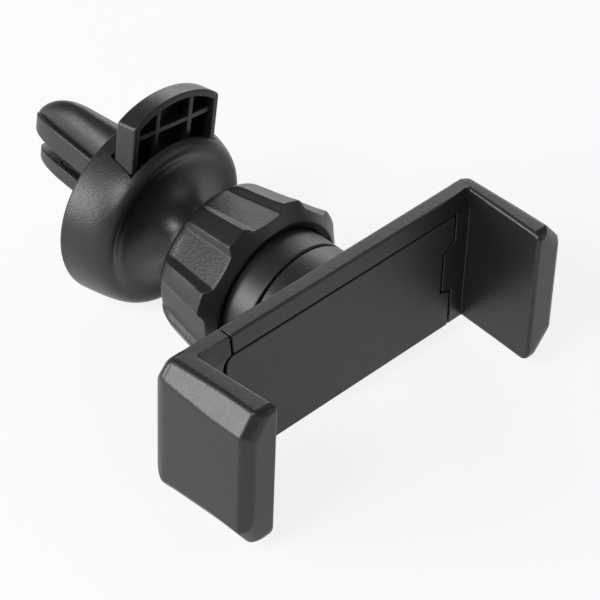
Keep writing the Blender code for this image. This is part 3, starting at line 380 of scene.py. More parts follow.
    def piece(self, name: str, place: Matrix, smooth: float = 35.0, even: bool = True) -> bpy.types.Object:
        """Finishes the shape as an object in the frame of the model.

        Args:
            name: Name of the piece.
            place: Frame that the shape was made in, in millimetres.
            smooth: Bends sharper than this, in degrees, stay sharp in the shading.
            even: Whether broad faces weigh more in the shading than narrow ones.

        Returns:
            The object, at the origin with its place in its mesh.
        """
        bmesh.ops.remove_doubles(self.bm, verts=self.bm.verts[:], dist=SLIVER)
        bmesh.ops.dissolve_degenerate(self.bm, dist=SLIVER, edges=self.bm.edges[:])
        bmesh.ops.transform(self.bm, matrix=Matrix.Scale(0.001, 4) @ place, verts=self.bm.verts[:])
        mesh = bpy.data.meshes.new(name)
        self.bm.to_mesh(mesh)
        self.bm.free()
        mesh.shade_smooth()
        mesh.set_sharp_from_angle(angle=math.radians(smooth))
        piece = bpy.data.objects.new(name, mesh)
        bpy.context.collection.objects.link(piece)
        if even:
            weigh = piece.modifiers.new("even_shading", "WEIGHTED_NORMAL")
            weigh.keep_sharp = True
        return piece


class Number:
    """A number socket that takes part in Python arithmetic."""

    def __init__(self, tree: "Tree", socket: bpy.types.NodeSocket) -> None:
        """Wraps a socket of a node tree."""
        self.tree = tree
        self.socket = socket

    def _math(self, operation: str, first: object, second: object) -> "Number":
        """Adds one Math node between two values."""
        node = self.tree.add("ShaderNodeMath", {"operation": operation}, {0: first, 1: second})
        return Number(self.tree, node.outputs[0])

    def __add__(self, other: object) -> "Number":
        """Sum."""
        return self._math("ADD", self, other)

    def __radd__(self, other: object) -> "Number":
        """Sum with a number on the left."""
        return self._math("ADD", other, self)

    def __mul__(self, other: object) -> "Number":
        """Product."""
        return self._math("MULTIPLY", self, other)

    def __rmul__(self, other: object) -> "Number":
        """Product with a number on the left."""
        return self._math("MULTIPLY", other, self)


class Tree:
    """Adds nodes to one material."""

    def __init__(self, name: str) -> None:
        """Makes a material with a Principled shader."""
        self.material = bpy.data.materials.new(name)
        self.material.use_nodes = True
        self.nodes = self.material.node_tree.nodes
        self.links = self.material.node_tree.links
        self.shader = self.nodes["Principled BSDF"]

    def feed(self, socket: bpy.types.NodeSocket, value: object) -> None:
        """Links a socket or sets it.

        Args:
            socket: The input socket.
            value: A number or an output socket to link, or the value to set.
        """
        if isinstance(value, Number):
            self.links.new(value.socket, socket)
        elif isinstance(value, bpy.types.NodeSocket):
            self.links.new(value, socket)
        else:
            socket.default_value = value

    def add(self, kind: str, settings: dict | None = None, sockets: dict | None = None) -> bpy.types.Node:
        """Adds a node.

        Args:
            kind: Type of the node.
            settings: Its own settings, set first.
            sockets: Values or links of its input sockets, by name or number.

        Returns:
            The node.
        """
        node = self.nodes.new(kind)
        for key, value in (settings or {}).items():
            setattr(node, key, value)
        for key, value in (sockets or {}).items():
            self.feed(node.inputs[key], value)
        return node

    def noise(self, size: float, detail: float = 2.0, roughness: float = 0.5) -> Number:
        """Even cloud on Object coordinates.

        Args:
            size: Size of its grain, in millimetres.
            detail: Number of finer layers.
            roughness: Weight of the finer layers.

        Returns:
            The cloud, from 0 to 1.
        """
        place = self.add("ShaderNodeTexCoord").outputs["Object"]
        values = {"Vector": place, "Scale": 1000.0 / size, "Detail": detail, "Roughness": roughness}
        return Number(self, self.add("ShaderNodeTexNoise", None, values).outputs[0])

    def blend(self, share: Number, low: Sequence[float], high: Sequence[float]) -> bpy.types.NodeSocket:
        """Colour between two colours.

        Args:
            share: Share of the second colour.
            low: First colour.
            high: Second colour.

        Returns:
            The socket of the colour.
        """
        mix = self.add(
            "ShaderNodeMix",
            {"data_type": "RGBA", "blend_type": "MIX"},
            {0: share, 6: (*low, 1.0), 7: (*high, 1.0)},
        )
        return mix.outputs[2]

    def bump(self, height: Number, depth: float) -> bpy.types.NodeSocket:
        """Surface normal from a height and its depth in millimetres."""
        values = {"Strength": 1.0, "Distance": depth / 1000.0, "Height": height}
        return self.add("ShaderNodeBump", None, values).outputs[0]


@dataclass(frozen=True)
class MouldedPlastic:
    """Black moulded plastic with the fine grain of its tool and faint flow marks."""

    name: str
    colour: tuple[float, float, float]
    lighter: tuple[float, float, float]
    roughness: float
    spread: float = 0.08
    grain: float = 0.28
    depth: float = 0.012
    flow_size: float = 14.0
    scuff_size: float = 2.2

    def material(self) -> bpy.types.Material:
        """Makes the material.

        Returns:
            The material.
        """
        tree = Tree(self.name)
        fine = tree.noise(self.grain, 2.0)
        coarse = tree.noise(self.grain * 2.6, 1.0)
        flow = tree.noise(self.flow_size, 3.0, 0.55)
        scuffs = tree.noise(self.scuff_size, 4.0, 0.6)
        share = flow * 0.6 + scuffs * 0.4
        tree.feed(tree.shader.inputs["Base Color"], tree.blend(share, self.colour, self.lighter))
        polish = self.roughness - self.spread + (fine * 0.5 + scuffs * 0.9 + flow * 0.6) * self.spread
        tree.feed(tree.shader.inputs["Roughness"], polish)
        tree.feed(tree.shader.inputs["Normal"], tree.bump(fine + coarse * 0.8, self.depth))
        tree.shader.inputs["IOR"].default_value = 1.5
        return tree.material


@dataclass(frozen=True)
class Rubber:
    """Soft black rubber with fine ribs across it and a dusty, uneven dullness."""

    name: str = "black_rubber_pad"
    pitch: float = 1.1
    rib_depth: float = 0.08
    dust_size: float = 1.4
    grain: float = 0.12
    colour: tuple[float, float, float] = (0.008, 0.008, 0.008)
    dusty: tuple[float, float, float] = (0.022, 0.021, 0.02)

    def material(self) -> bpy.types.Material:
        """Makes the material.

        Returns:
            The material.
        """
        tree = Tree(self.name)
        place = tree.add("ShaderNodeTexCoord").outputs["Object"]
        ribs = tree.add(
            "ShaderNodeTexWave",
            {"wave_type": "BANDS", "bands_direction": "Y", "wave_profile": "SIN"},
            {"Vector": place, "Scale": 1000.0 / self.pitch / 20.0 * math.pi, "Distortion": 0.0},
        )
        height = Number(tree, ribs.outputs["Fac"])
        dust = tree.noise(self.dust_size, 4.0, 0.6)
        tree.feed(tree.shader.inputs["Base Color"], tree.blend(dust, self.colour, self.dusty))
        tree.feed(tree.shader.inputs["Roughness"], 0.72 + dust * 0.2)
        relief = height + tree.noise(self.grain, 2.0) * 0.15
        tree.feed(tree.shader.inputs["Normal"], tree.bump(relief, self.rib_depth))
        return tree.material


@dataclass(frozen=True)
class ZincSteel:
    """Zinc plated steel with fine drawing marks and dull patches."""

    name: str
    stretch: tuple[float, float, float] = (1.0, 1.0, 12.0)
    roughness: float = 0.26
    mark_scale: float = 900.0
    mark_depth: float = 0.004
    patch_size: float = 1.6
    dull: tuple[float, float, float] = (0.47, 0.47, 0.48)
    bright: tuple[float, float, float] = (0.66, 0.66, 0.64)

    def material(self) -> bpy.types.Material:
        """Makes the material.

        Returns:
            The material.
        """
        tree = Tree(self.name)
        place = tree.add("ShaderNodeTexCoord").outputs["Object"]
        mapping = tree.add("ShaderNodeMapping", None, {"Vector": place, "Scale": self.stretch})
        values = {"Vector": mapping.outputs[0], "Scale": self.mark_scale, "Detail": 3.0}
        marks = Number(tree, tree.add("ShaderNodeTexNoise", None, values).outputs[0])
        patches = tree.noise(self.patch_size, 3.0, 0.6)
        tree.feed(tree.shader.inputs["Base Color"], tree.blend(patches, self.dull, self.bright))
        tree.feed(tree.shader.inputs["Roughness"], self.roughness + patches * 0.16 + marks * 0.08)
        tree.feed(tree.shader.inputs["Normal"], tree.bump(marks, self.mark_depth))
        tree.shader.inputs["Metallic"].default_value = 1.0
        return tree.material


@dataclass(frozen=True)
class Finishes:
    """The finishes of the holder, each made once."""

    satin: bpy.types.Material
    plate: bpy.types.Material
    slick: bpy.types.Material
    liner: bpy.types.Material
    rubber: bpy.types.Material
    steel: bpy.types.Material
    spring: bpy.types.Material

    @classmethod
    def mixed(cls) -> "Finishes":
        """Makes every finish.

        Returns:
            The finishes.
        """
        satin = MouldedPlastic(
            "satin_black_moulding",
            (0.009, 0.009, 0.01),
            (0.015, 0.015, 0.0155),
            0.37,
            grain=0.26,
            depth=0.025,
        )
        plate = MouldedPlastic(
            "smooth_black_plate", (0.01, 0.01, 0.0105), (0.015, 0.015, 0.0155), 0.5, grain=0.2, depth=0.004
        )
        slick = MouldedPlastic(
            "slick_black_barrel",
            (0.008, 0.008, 0.0085),
            (0.013, 0.013, 0.0135),
            0.42,
            grain=0.35,
            depth=0.006,
        )
        liner = MouldedPlastic("dull_black_liner", (0.008, 0.008, 0.008), (0.013, 0.013, 0.013), 0.6)
        return cls(
            satin.material(),
            plate.material(),
            slick.material(),
            liner.material(),
            Rubber().material(),
            ZincSteel("zinc_plated_steel").material(),
            ZincSteel("spring_steel", (1.0, 1.0, 1.0), 0.2).material(),
        )


def fit_piece(
    piece: bpy.types.Object, finish: bpy.types.Material, body: str, slot: str, *nodes: str
) -> bpy.types.Object:
    """Dresses a piece and ties it to the frame.

    Args:
        piece: The finished object.
        finish: Its material.
        body: The body it rides on.
        slot: The record's material slot that it stands for; not used.
        nodes: The solids of the frame that it replaces.

    Returns:
        The piece.
    """
    piece.data.materials.append(finish)
    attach(piece, body)
    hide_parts(*nodes)
    LOG.info("%s: %d faces, on %s", piece.name, len(piece.data.polygons), body)
    return piece


@dataclass(frozen=True)
class Shoulder:
    """Facet between a jaw's top and its outer face."""

    across: float
    down: float
    flare: float
    dome: float
    narrowing: float


@dataclass
class Cradle:
    """Tray with its fixed jaw, the sliding jaw and the front plate."""

    left_shoulder: Shoulder = Shoulder(2.4, 3.5, 0.25, 2.0, 0.45)
    right_shoulder: Shoulder = Shoulder(3.0, 3.6, 0.0, 1.3, 0.0)
    jaw_gap: float = 54.0
    jaw_thickness: float = 5.0
    jaw_depth: float = 14.099
    toe_in: float = 0.9
    jaw_back: float = 5.6
    jaw_back_half: float = 8.4
    jaw_back_radius: float = 3.6
    jaw_back_edge: float = 0.4
    jaw_front_chamfer: float = 1.35
    jaw_chamfer_blend: float = 0.45
    jaw_front_round: float = 1.2
    jaw_edge: float = 0.6
    jaw_round: float = 1.1
    jaw_root: float = 0.85
    fade_start: float = 0.4
    fade_length: float = 3.2
    foot_radius: float = 0.32
    facet_start: float = 16.0
    facet_base: float = -3.919
    facet_run: float = 0.0745
    facet_rise: float = 0.2423
    height: float = 24.2
    rim_depth: float = 3.1
    rim_setback: float = 0.5
    arm_length: float = 5.95
    spine_depth: float = 7.2
    spine_root_half: float = 9.8
    spine_top_half: float = 6.9
    spine_inset: float = 3.5
    spine_edge: float = 0.7
    boss_radius: float = 10.7
    boss_edge: float = 0.3
    screw_hole: float = 1.45
    plate_thickness: float = 1.3
    plate_top: float = 8.85
    plate_margin: float = 3.1
    plate_overhang: float = 1.3
    plate_end_gap: float = 0.5
    plate_corner: float = 1.4
    notch_depth: float = 2.1
    notch_high: float = 3.4
    notch_low: float = -5.1
    notch_slope: float = 0.9
    slider_half: float = 7.3
    slider_thickness: float = 1.6
    slider_overlap: float = 40.9
    window_end: float = 9.5
    window_length: float = 22.0
    window_half: float = 2.2
    cavity_floor: float = 5.8
    spring_height: float = 4.4
    spring_room: float = 1.9
    spring_post: float = 0.75
    post_place: float = 5.9

    def __post_init__(self) -> None:
        """Works out the places that several pieces share."""
        self.half = self.jaw_gap / 2
        self.seam_left = -(self.half - self.arm_length) - GAP / 2
        self.seam_right = self.seam_left + GAP
        self.slider_front = self.plate_thickness + 2 * GAP
        self.slider_back = self.slider_front + self.slider_thickness
        self.slider_right = self.seam_left + self.slider_overlap
        self.cavity_right = self.slider_right + 2 * GAP

    def jaw(self, left: bool) -> Form:
        """One jaw: inner face, sloped shoulders, rounded back and chamfered front.

        Args:
            left: Whether it is the left, sliding jaw.

        Returns:
            The jaw, drawn as a right one and mirrored where it is the left one.
        """
        facet = self.left_shoulder if left else self.right_shoulder
        back, depth, edge = self.jaw_back, self.jaw_depth, self.jaw_edge
        chamfer, soft = self.jaw_front_chamfer, self.jaw_chamfer_blend
        slope = (self.height / 2 - self.jaw_back_half) / (back - self.rim_depth)
        rings = []
        round_back = self.jaw_back_radius
        stations = [back - round_back * (1 - math.sin(math.radians(90 - 5 * i))) for i in range(19)]
        stations += [-depth / 2]
        stations += [-depth + step for step in (2.2, 1.65, 1.5, 1.35, 1.2, 1.05, 0.75, 0.45)]
        stations += [-depth + edge * (1 - math.cos(math.radians(75 - 15 * i))) for i in range(6)]
        for y in stations:
            share = max(0.0, -y / depth)
            ends = rounding(y + depth, edge) + rounding(back - y, self.jaw_back_edge)
            past = -depth + chamfer - y
            cut = 0.0 if past < -soft else past if past > soft else (past + soft) ** 2 / (4 * soft)
            fall = y - self.rim_depth
            drop = slope * (0.0 if fall < -1.0 else fall if fall > 1.0 else (fall + 1.0) ** 2 / 4)
            inner = self.half - self.toe_in * share + ends
            front = self.half + self.jaw_thickness - cut - rounding(y + depth, edge)
            outer = front - rounding(back - y, round_back)
            top = self.height / 2 + facet.flare * share - drop - ends - max(0.0, past) / 3
            low = top - rounding(y + depth, self.jaw_front_round)
            crown = rounding(self.rim_depth + facet.dome - y, round_back)
            fade = min(1.0, max(0.0, (y - self.fade_start) / self.fade_length))
            fade *= facet.narrowing * fade * (3.0 - 2.0 * fade)
            wide, deep = facet.across * (1.0 - fade), facet.down * (1.0 - fade)
            shoulder = max(front - wide - crown, inner + 0.55)
            small = min(edge, 0.4 * (shoulder - inner))
            broad = min(self.jaw_round * (1.0 + 1.3 * fade), 0.5 * (shoulder - inner))
            corners = [
                (inner, -low, small),
                (inner, top, small),
                (shoulder, top, broad),
                (outer, top - deep, broad),
                (outer, deep - low, broad),
                (shoulder, -low, broad),
            ]
            rings.append([Vector((x, y, z)) for x, z in filleted(corners)])
        form = Form.lofted(rings)
        return form.mirrored() if left else form

    def rim(self, seam: float, far: float) -> Form:
        """The tray's rim, drawn out along X.

        Args:
            seam: Where it starts, with a softened edge.
            far: Where it ends, inside a jaw.

        Returns:
            The rim.
        """
        half = self.height / 2 - 0.01
        side = math.copysign(1.0, far - seam)
        rings = []
        for along, inset in (*SOFT_EDGE, (abs(far - seam), 0.0)):
            section = [
                (self.rim_setback + inset, half - inset, 0.45),
                (self.rim_depth - inset, half - inset, 0.4),
                (self.rim_depth - inset, inset - half, 0.4),
                (inset, inset - half, 0.35),
                (inset, self.plate_top, 0.3),
            ]
            rings.append([Vector((seam + side * along, y, z)) for y, z in filleted(section)])
        return Form.lofted(rings)

    def spine(self, seam: float, side: int) -> Form:
        """Raised spine on the back, which runs out into a jaw's back.

        Args:
            seam: Where it starts, with a softened edge.
            side: 1 towards the right jaw, -1 towards the left one.

        Returns:
            The spine.
        """
        root, top, depth = self.spine_root_half, self.spine_top_half, self.spine_depth
        inside = self.rim_depth - GAP
        run = abs(side * (self.half - self.spine_inset) - seam)
        reach = abs(side * (self.half + 1.0) - seam)
        sink = depth - self.jaw_back + GAP
        places = [(along + 0.01, inset) for along, inset in SOFT_EDGE]
        rings = []
        for along, inset in (*places, (run, 0.0), (reach, sink)):
            trim = min(inset, SOFT_EDGE[0][1]) / 2
            section = [
                (inside - GAP, root, 0.0),
                (inside, root, 0.0),
                (depth - inset, top - trim, self.spine_edge),
                (depth - inset, trim - top, self.spine_edge),
                (inside, -root, 0.0),
                (inside - GAP, -root, 0.0),
            ]
            x = seam + math.copysign(along, side)
            rings.append([Vector((x, y, z)) for y, z in filleted(section)])
        return Form.lofted(rings)

    def facet(self, side: int) -> Form:
        """Wedge that leans the rim's front back towards a jaw.

        Args:
            side: 1 for the right jaw, -1 for the left one.

        Returns:
            The wedge.
        """
        form = Form.block((self.facet_start, self.half - 0.2), (-3.0, 0.0), (6.0, self.height / 2 + 1.0))

        def lean(point: Vector) -> Vector:
            """Lays the wedge's back face on the slant.

            Args:
                point: A point of the wedge.

            Returns:
                Its new place.
            """
            if point.y > -0.1:
                point.y = self.facet_base + self.facet_run * point.x + self.facet_rise * point.z
            return point

        form.warp(lean)
        return form if side > 0 else form.mirrored()

    def fillet(self, side: int) -> Form:
        """Hollow rounding between a jaw's inner face and the face of the tray.

        Args:
            side: 1 for the right jaw, -1 for the left one.

        Returns:
            The rounding, sunk a little into the tray.
        """
        wall, radius = self.half, self.foot_radius
        section = arc((wall - radius, 0.012 - radius), (radius, radius), 90, 0, 8)
        section += [(wall + 0.6, -radius), (wall + 0.6, 0.6), (wall - radius, 0.6)]
        form = Form.drawn(section, Axis.Z, (-self.height / 2 + 0.3, self.plate_top + 0.2))
        return form if side > 0 else form.mirrored()

    def plate_outline(self, gap: float) -> list[Point]:
        """Outline of the front plate.

        Args:
            gap: How far its upper and right edges are grown outwards.

        Returns:
            The outline's (x, z) points.
        """
        left = self.seam_right - self.plate_overhang - gap * self.plate_end_gap / GAP
        right = self.half - self.plate_margin + gap
        notch = right - self.notch_depth
        top = self.plate_top + gap
        bottom = -self.height / 2 - (1.0 if gap > 0.0 else 0.0)
        return filleted(
            [
                (left, bottom, 0.3),
                (left, top, self.plate_corner + gap),
                (right, top, 0.25 + gap / 2),
                (right, self.notch_high + self.notch_slope - gap / 2, 0.25),
                (notch, self.notch_high - self.notch_slope - gap / 2, 0.25),
                (notch, self.notch_low + self.notch_slope / 2 + gap / 2, 0.25),
                (right, self.notch_low - self.notch_slope / 2 + gap / 2, 0.25),
                (right, bottom, 0.3),
            ],
            steps=5,
        )

    def recess(self) -> Form:
        """Room for the front plate, with a softened mouth.

        Returns:
            The room, to be cut away.
        """
        rings = []
        mouth = ((-4.0, 0.12), (0.02, 0.12), (0.05, 0.06), (0.14, 0.0))
        for y, flare in (*mouth, (self.plate_thickness + GAP, 0.0)):
            rings.append([Vector((x, y, z)) for x, z in self.plate_outline(GAP + flare)])
        return Form.lofted(rings)

    def build_tray(self) -> Form:
        """Tray, spine, boss and fixed jaw, with room for the plate, the slider and the springs.

        Returns:
            The tray.
        """
        tray = self.rim(self.seam_right, self.half + self.jaw_root)
        tray.join(self.jaw(left=False)).join(self.fillet(1)).join(self.spine(self.seam_right, 1))
        top = self.spine_depth + 0.02
        boss = Form.rod((BOSS.x, BOSS.z), self.boss_radius, Axis.Y, (self.rim_depth / 2, top), 128)
        boss.rounded(self.boss_edge, lambda a, b: min(a.y, b.y) > top - 0.01)
        tray.join(boss).cut(self.facet(1)).cut(self.recess())
        cavity, room = self.slider_half + GAP, self.spring_height + self.spring_room
        channel = [
            (0.6, cavity),
            (self.slider_back + GAP, cavity),
            (self.slider_back + GAP, room),
            (self.cavity_floor, room),
            (self.cavity_floor, -room),
            (self.slider_back + GAP, -room),
            (self.slider_back + GAP, -cavity),
            (0.6, -cavity),
        ]
        tray.cut(Form.drawn(channel, Axis.X, (self.seam_right - 5.0, self.cavity_right)))
        through = (self.plate_thickness, self.spine_depth + 1.0)
        return tray.cut(Form.rod((BOSS.x, BOSS.z), self.screw_hole, Axis.Y, through, 32))

    def build_sliding_jaw(self) -> Form:
        """Left jaw with its short arm, and the slider bar that runs inside the tray.

        Returns:
            The jaw.
        """
        arm = self.rim(self.seam_left, -self.half - self.jaw_root)
        arm.join(self.jaw(left=True)).join(self.fillet(-1)).join(self.spine(self.seam_left, -1))
        arm.cut(self.facet(-1)).cut(self.recess())
        layer, height = (self.slider_front, self.slider_back), (-self.slider_half, self.slider_half)
        bar = Form.block((-self.half, self.slider_right), layer, height)
        bar.rounded(0.25, lambda a, b: min(a.x, b.x) > self.slider_right - 0.01)
        window = self.slider_right - self.window_end
        through, height = (0.5, self.slider_back + 1.0), (-self.window_half, self.window_half)
        bar.cut(Form.block((window - self.window_length, window), through, height))
        arm.join(bar)
        for side in (-1, 1):
            centre = (self.seam_left + self.post_place, side * self.spring_height)
            ends = (self.slider_back - GAP, self.cavity_floor - GAP)
            arm.join(Form.rod(centre, self.spring_post, Axis.Y, ends, 20))
        return arm

    def build_plate(self) -> Form:
        """Flat plate with a softened front edge.

        Returns:
            The plate.
        """
        form = Form.drawn(self.plate_outline(0.0), Axis.Y, (0.0, self.plate_thickness))
        return form.rounded(0.2, lambda a, b: max(a.y, b.y) < 0.01, 3, 40.0)

    def build(self, finishes: Finishes) -> None:
        """Makes, dresses and ties the cradle's pieces.

        Args:
            finishes: The finishes of the holder.
        """
        tray = self.build_tray().piece("cradle_tray", CRADLE_PLACE)
        fit_piece(tray, finishes.satin, "cradle", "satin_black", "cradle_housing")
        plate = self.build_plate().piece("face_plate", CRADLE_PLACE)
        fit_piece(plate, finishes.plate, "cradle", "plain_black", "front_plate")
        jaw = self.build_sliding_jaw().piece("moving_jaw", CRADLE_PLACE)
        fit_piece(jaw, finishes.satin, "jaw", "satin_black", "sliding_jaw")


@dataclass
class BallJoint:
    """Socket barrel and lobed locking collar round the ball."""

    ball_y: float = 20.6
    seat: float = 9.0
    wrap: float = 3.8
    wall: float = 1.0
    barrel: float = 10.7
    barrel_front: float = 7.5
    shoulder_y: float = 17.2
    screw_hole: float = 1.45
    collar_front: float = 12.1
    collar_rear: float = 25.4
    mouth: float = 11.75
    front_radius: float = 13.42
    rear_radius: float = 11.2
    slope: float = 1.35
    lobes: int = 8
    lobe_height: float = 0.92
    lobe_top: float = 0.31
    lobe_foot: float = 0.49
    lobe_edge: float = 0.035
    lobe_turn: float = 26.0
    lobe_steps: int = 80
    lobe_run: float = 3.2
    neck_lip: float = 0.7
    slot_front: float = 15.5
    slot_half: float = 0.6
    slot_turns: tuple[float, ...] = (45.0, 135.0)

    def build_socket(self) -> Form:
        """Smooth barrel in front, waist and slotted lip round the ball behind.

        Returns:
            The socket.
        """
        lip_y = self.ball_y + self.wrap
        lip = math.sqrt(self.seat**2 - self.wrap**2)
        pole = math.degrees(math.acos(self.screw_hole / self.seat))
        outline = filleted(
            [
                (self.screw_hole, self.barrel_front, 0.0),
                (self.barrel, self.barrel_front, 0.35),
                (self.barrel, self.shoulder_y, 0.25),
                (self.seat + 1.2 * self.wall, self.shoulder_y + GAP, 0.0),
                (self.seat + self.wall, self.ball_y, 0.0),
                (lip + self.wall, lip_y, 0.0),
            ],
            closed=False,
        )
        start = math.degrees(math.asin(self.wrap / self.seat))
        outline += arc((0.0, self.ball_y), (self.seat, self.seat), start, -pole, 24)
        form = Form.turned(outline, 160, closed=True)
        for turn in self.slot_turns:
            length, width = (self.slot_front, lip_y + GAP), (-self.slot_half, self.slot_half)
            slot = Form.block((-13.0, 13.0), length, width)
            around = Matrix.Rotation(math.radians(-turn), 3, "Y")
            bmesh.ops.rotate(slot.bm, cent=(0, 0, 0), matrix=around, verts=slot.bm.verts[:])
            form.cut(slot)
        return form

    def lobe(self, share: float) -> float:
        """Height of a lobe, with its edges softened.

        Args:
            share: Share of half a lobe's pitch, from its middle.

        Returns:
            The height, from 0 to 1.
        """
        total = 0.0
        for step in range(-4, 5):
            away = share + step / 4 * self.lobe_edge
            total += min(1.0, max(0.0, (self.lobe_foot - away) / (self.lobe_foot - self.lobe_top)))
        return total / 9

    def build_collar(self) -> Form:
        """Tapered nut with raised lobes, a coned mouth in front and a lip round the neck behind.

        Returns:
            The collar.
        """
        front = self.collar_front + self.slope
        taper = (self.front_radius - self.rear_radius) / (self.collar_rear - front)
        bore = self.barrel + GAP
        rear = self.collar_rear
        lip_front = rear - self.neck_lip
        throat = [math.sqrt(self.seat**2 - (y - self.ball_y) ** 2) for y in (rear, lip_front)]
        finger = math.sqrt(self.seat**2 - self.wrap**2) + self.wall + GAP
        outline = filleted(
            [
                (self.mouth + 0.15, self.collar_front, 0.15),
                (self.front_radius, front, 0.2),
                (self.rear_radius + 0.05, rear, 1.5),
                (throat[0], rear, 0.15),
                (throat[1], lip_front, 0.0),
                (finger, lip_front - 0.15, 0.0),
                (self.seat + self.wall + GAP, self.ball_y, 0.0),
                (bore, self.shoulder_y + GAP, 0.0),
                (bore - 0.1, self.collar_front + 0.9, 0.0),
                (bore - 0.1, self.collar_front + 0.35, 0.0),
            ]
        )
        # The lobes need points all along the long stretches outside.
        points: list[Point] = []
        for here, there in zip(outline, outline[1:] + outline[:1]):
            points.append(here)
            reach = math.dist(here, there)
            if min(here[0], there[0]) > self.mouth - 1.2 and reach > 1.2 and here[0] > bore + 0.5:
                count = int(reach // 0.5)
                points += [
                    (here[0] + (there[0] - here[0]) * k / count, here[1] + (there[1] - here[1]) * k / count)
                    for k in range(1, count)
                ]
        form = Form.turned(points, self.lobe_steps * self.lobes, closed=True)
        pitch = 2 * math.pi / self.lobes
        edge = self.lobe_edge * 1.2
        top, foot = self.lobe_top, self.lobe_foot
        # Shares of half a pitch between which points stand evenly, and where they are gathered.
        even = (0.0, 0.1, 0.325, 0.4, 0.625, 1.0)
        close = (0.0, top - edge, top + edge, foot - edge, foot + edge, 1.0)
        cone = self.slope / (self.front_radius - self.mouth)

        def shape(point: Vector) -> Vector:
            """Gathers points at the lobes' edges and lifts the lobes.

            Args:
                point: A point of the plain collar.

            Returns:
                Its new place.
            """
            radius = math.hypot(point.x, point.z)
            angle = math.atan2(point.z, point.x)
            step = round(angle / pitch)
            share = (angle - step * pitch) / (pitch / 2)
            size = abs(share)
            k = next(i for i in range(1, 6) if size <= even[i] + 1e-6)
            part = (size - even[k - 1]) / (even[k] - even[k - 1])
            size = close[k - 1] + part * (close[k] - close[k - 1])
            outer = self.front_radius - taper * max(0.0, point.y - front)
            on_cone = point.y < front and radius > self.mouth + 0.1
            y = point.y
            if on_cone or radius > outer - 0.6:
                valley = 0.0
                if size > foot:
                    half = (1 - foot) * pitch / 2
                    valley = 1 - math.cos(half) / math.cos((1 - size) * pitch / 2)
                rise = self.lobe(size) * self.lobe_height - radius * valley * 0.95
                end = min(1.0, max(0.0, (rear - 0.1 - y) / self.lobe_run))
                out = (radius - self.mouth) / (self.front_radius - self.mouth) if on_cone else 1.0
                rise *= math.sin(end * math.pi / 2) * min(1.0, out)
                radius += rise
                y += rise * cone * min(1.0, max(0.0, (front + 3.0 - y) / 2.5))
            turned = step * pitch + math.copysign(size, share) * pitch / 2 + math.radians(self.lobe_turn)
            return Vector((radius * math.cos(turned), y, radius * math.sin(turned)))

        return form.warp(shape)

    def build(self, finishes: Finishes) -> None:
        """Makes, dresses and ties the joint's pieces.

        Args:
            finishes: The finishes of the holder.
        """
        socket = self.build_socket().piece("socket_barrel", JOINT_PLACE, 30.0)
        fit_piece(socket, finishes.slick, "cradle", "slick_black", "ball_socket")
        collar = self.build_collar().piece("lobed_collar", JOINT_PLACE, 40.0, even=False)
        fit_piece(collar, finishes.satin, "collar", "satin_black", "locking_collar")


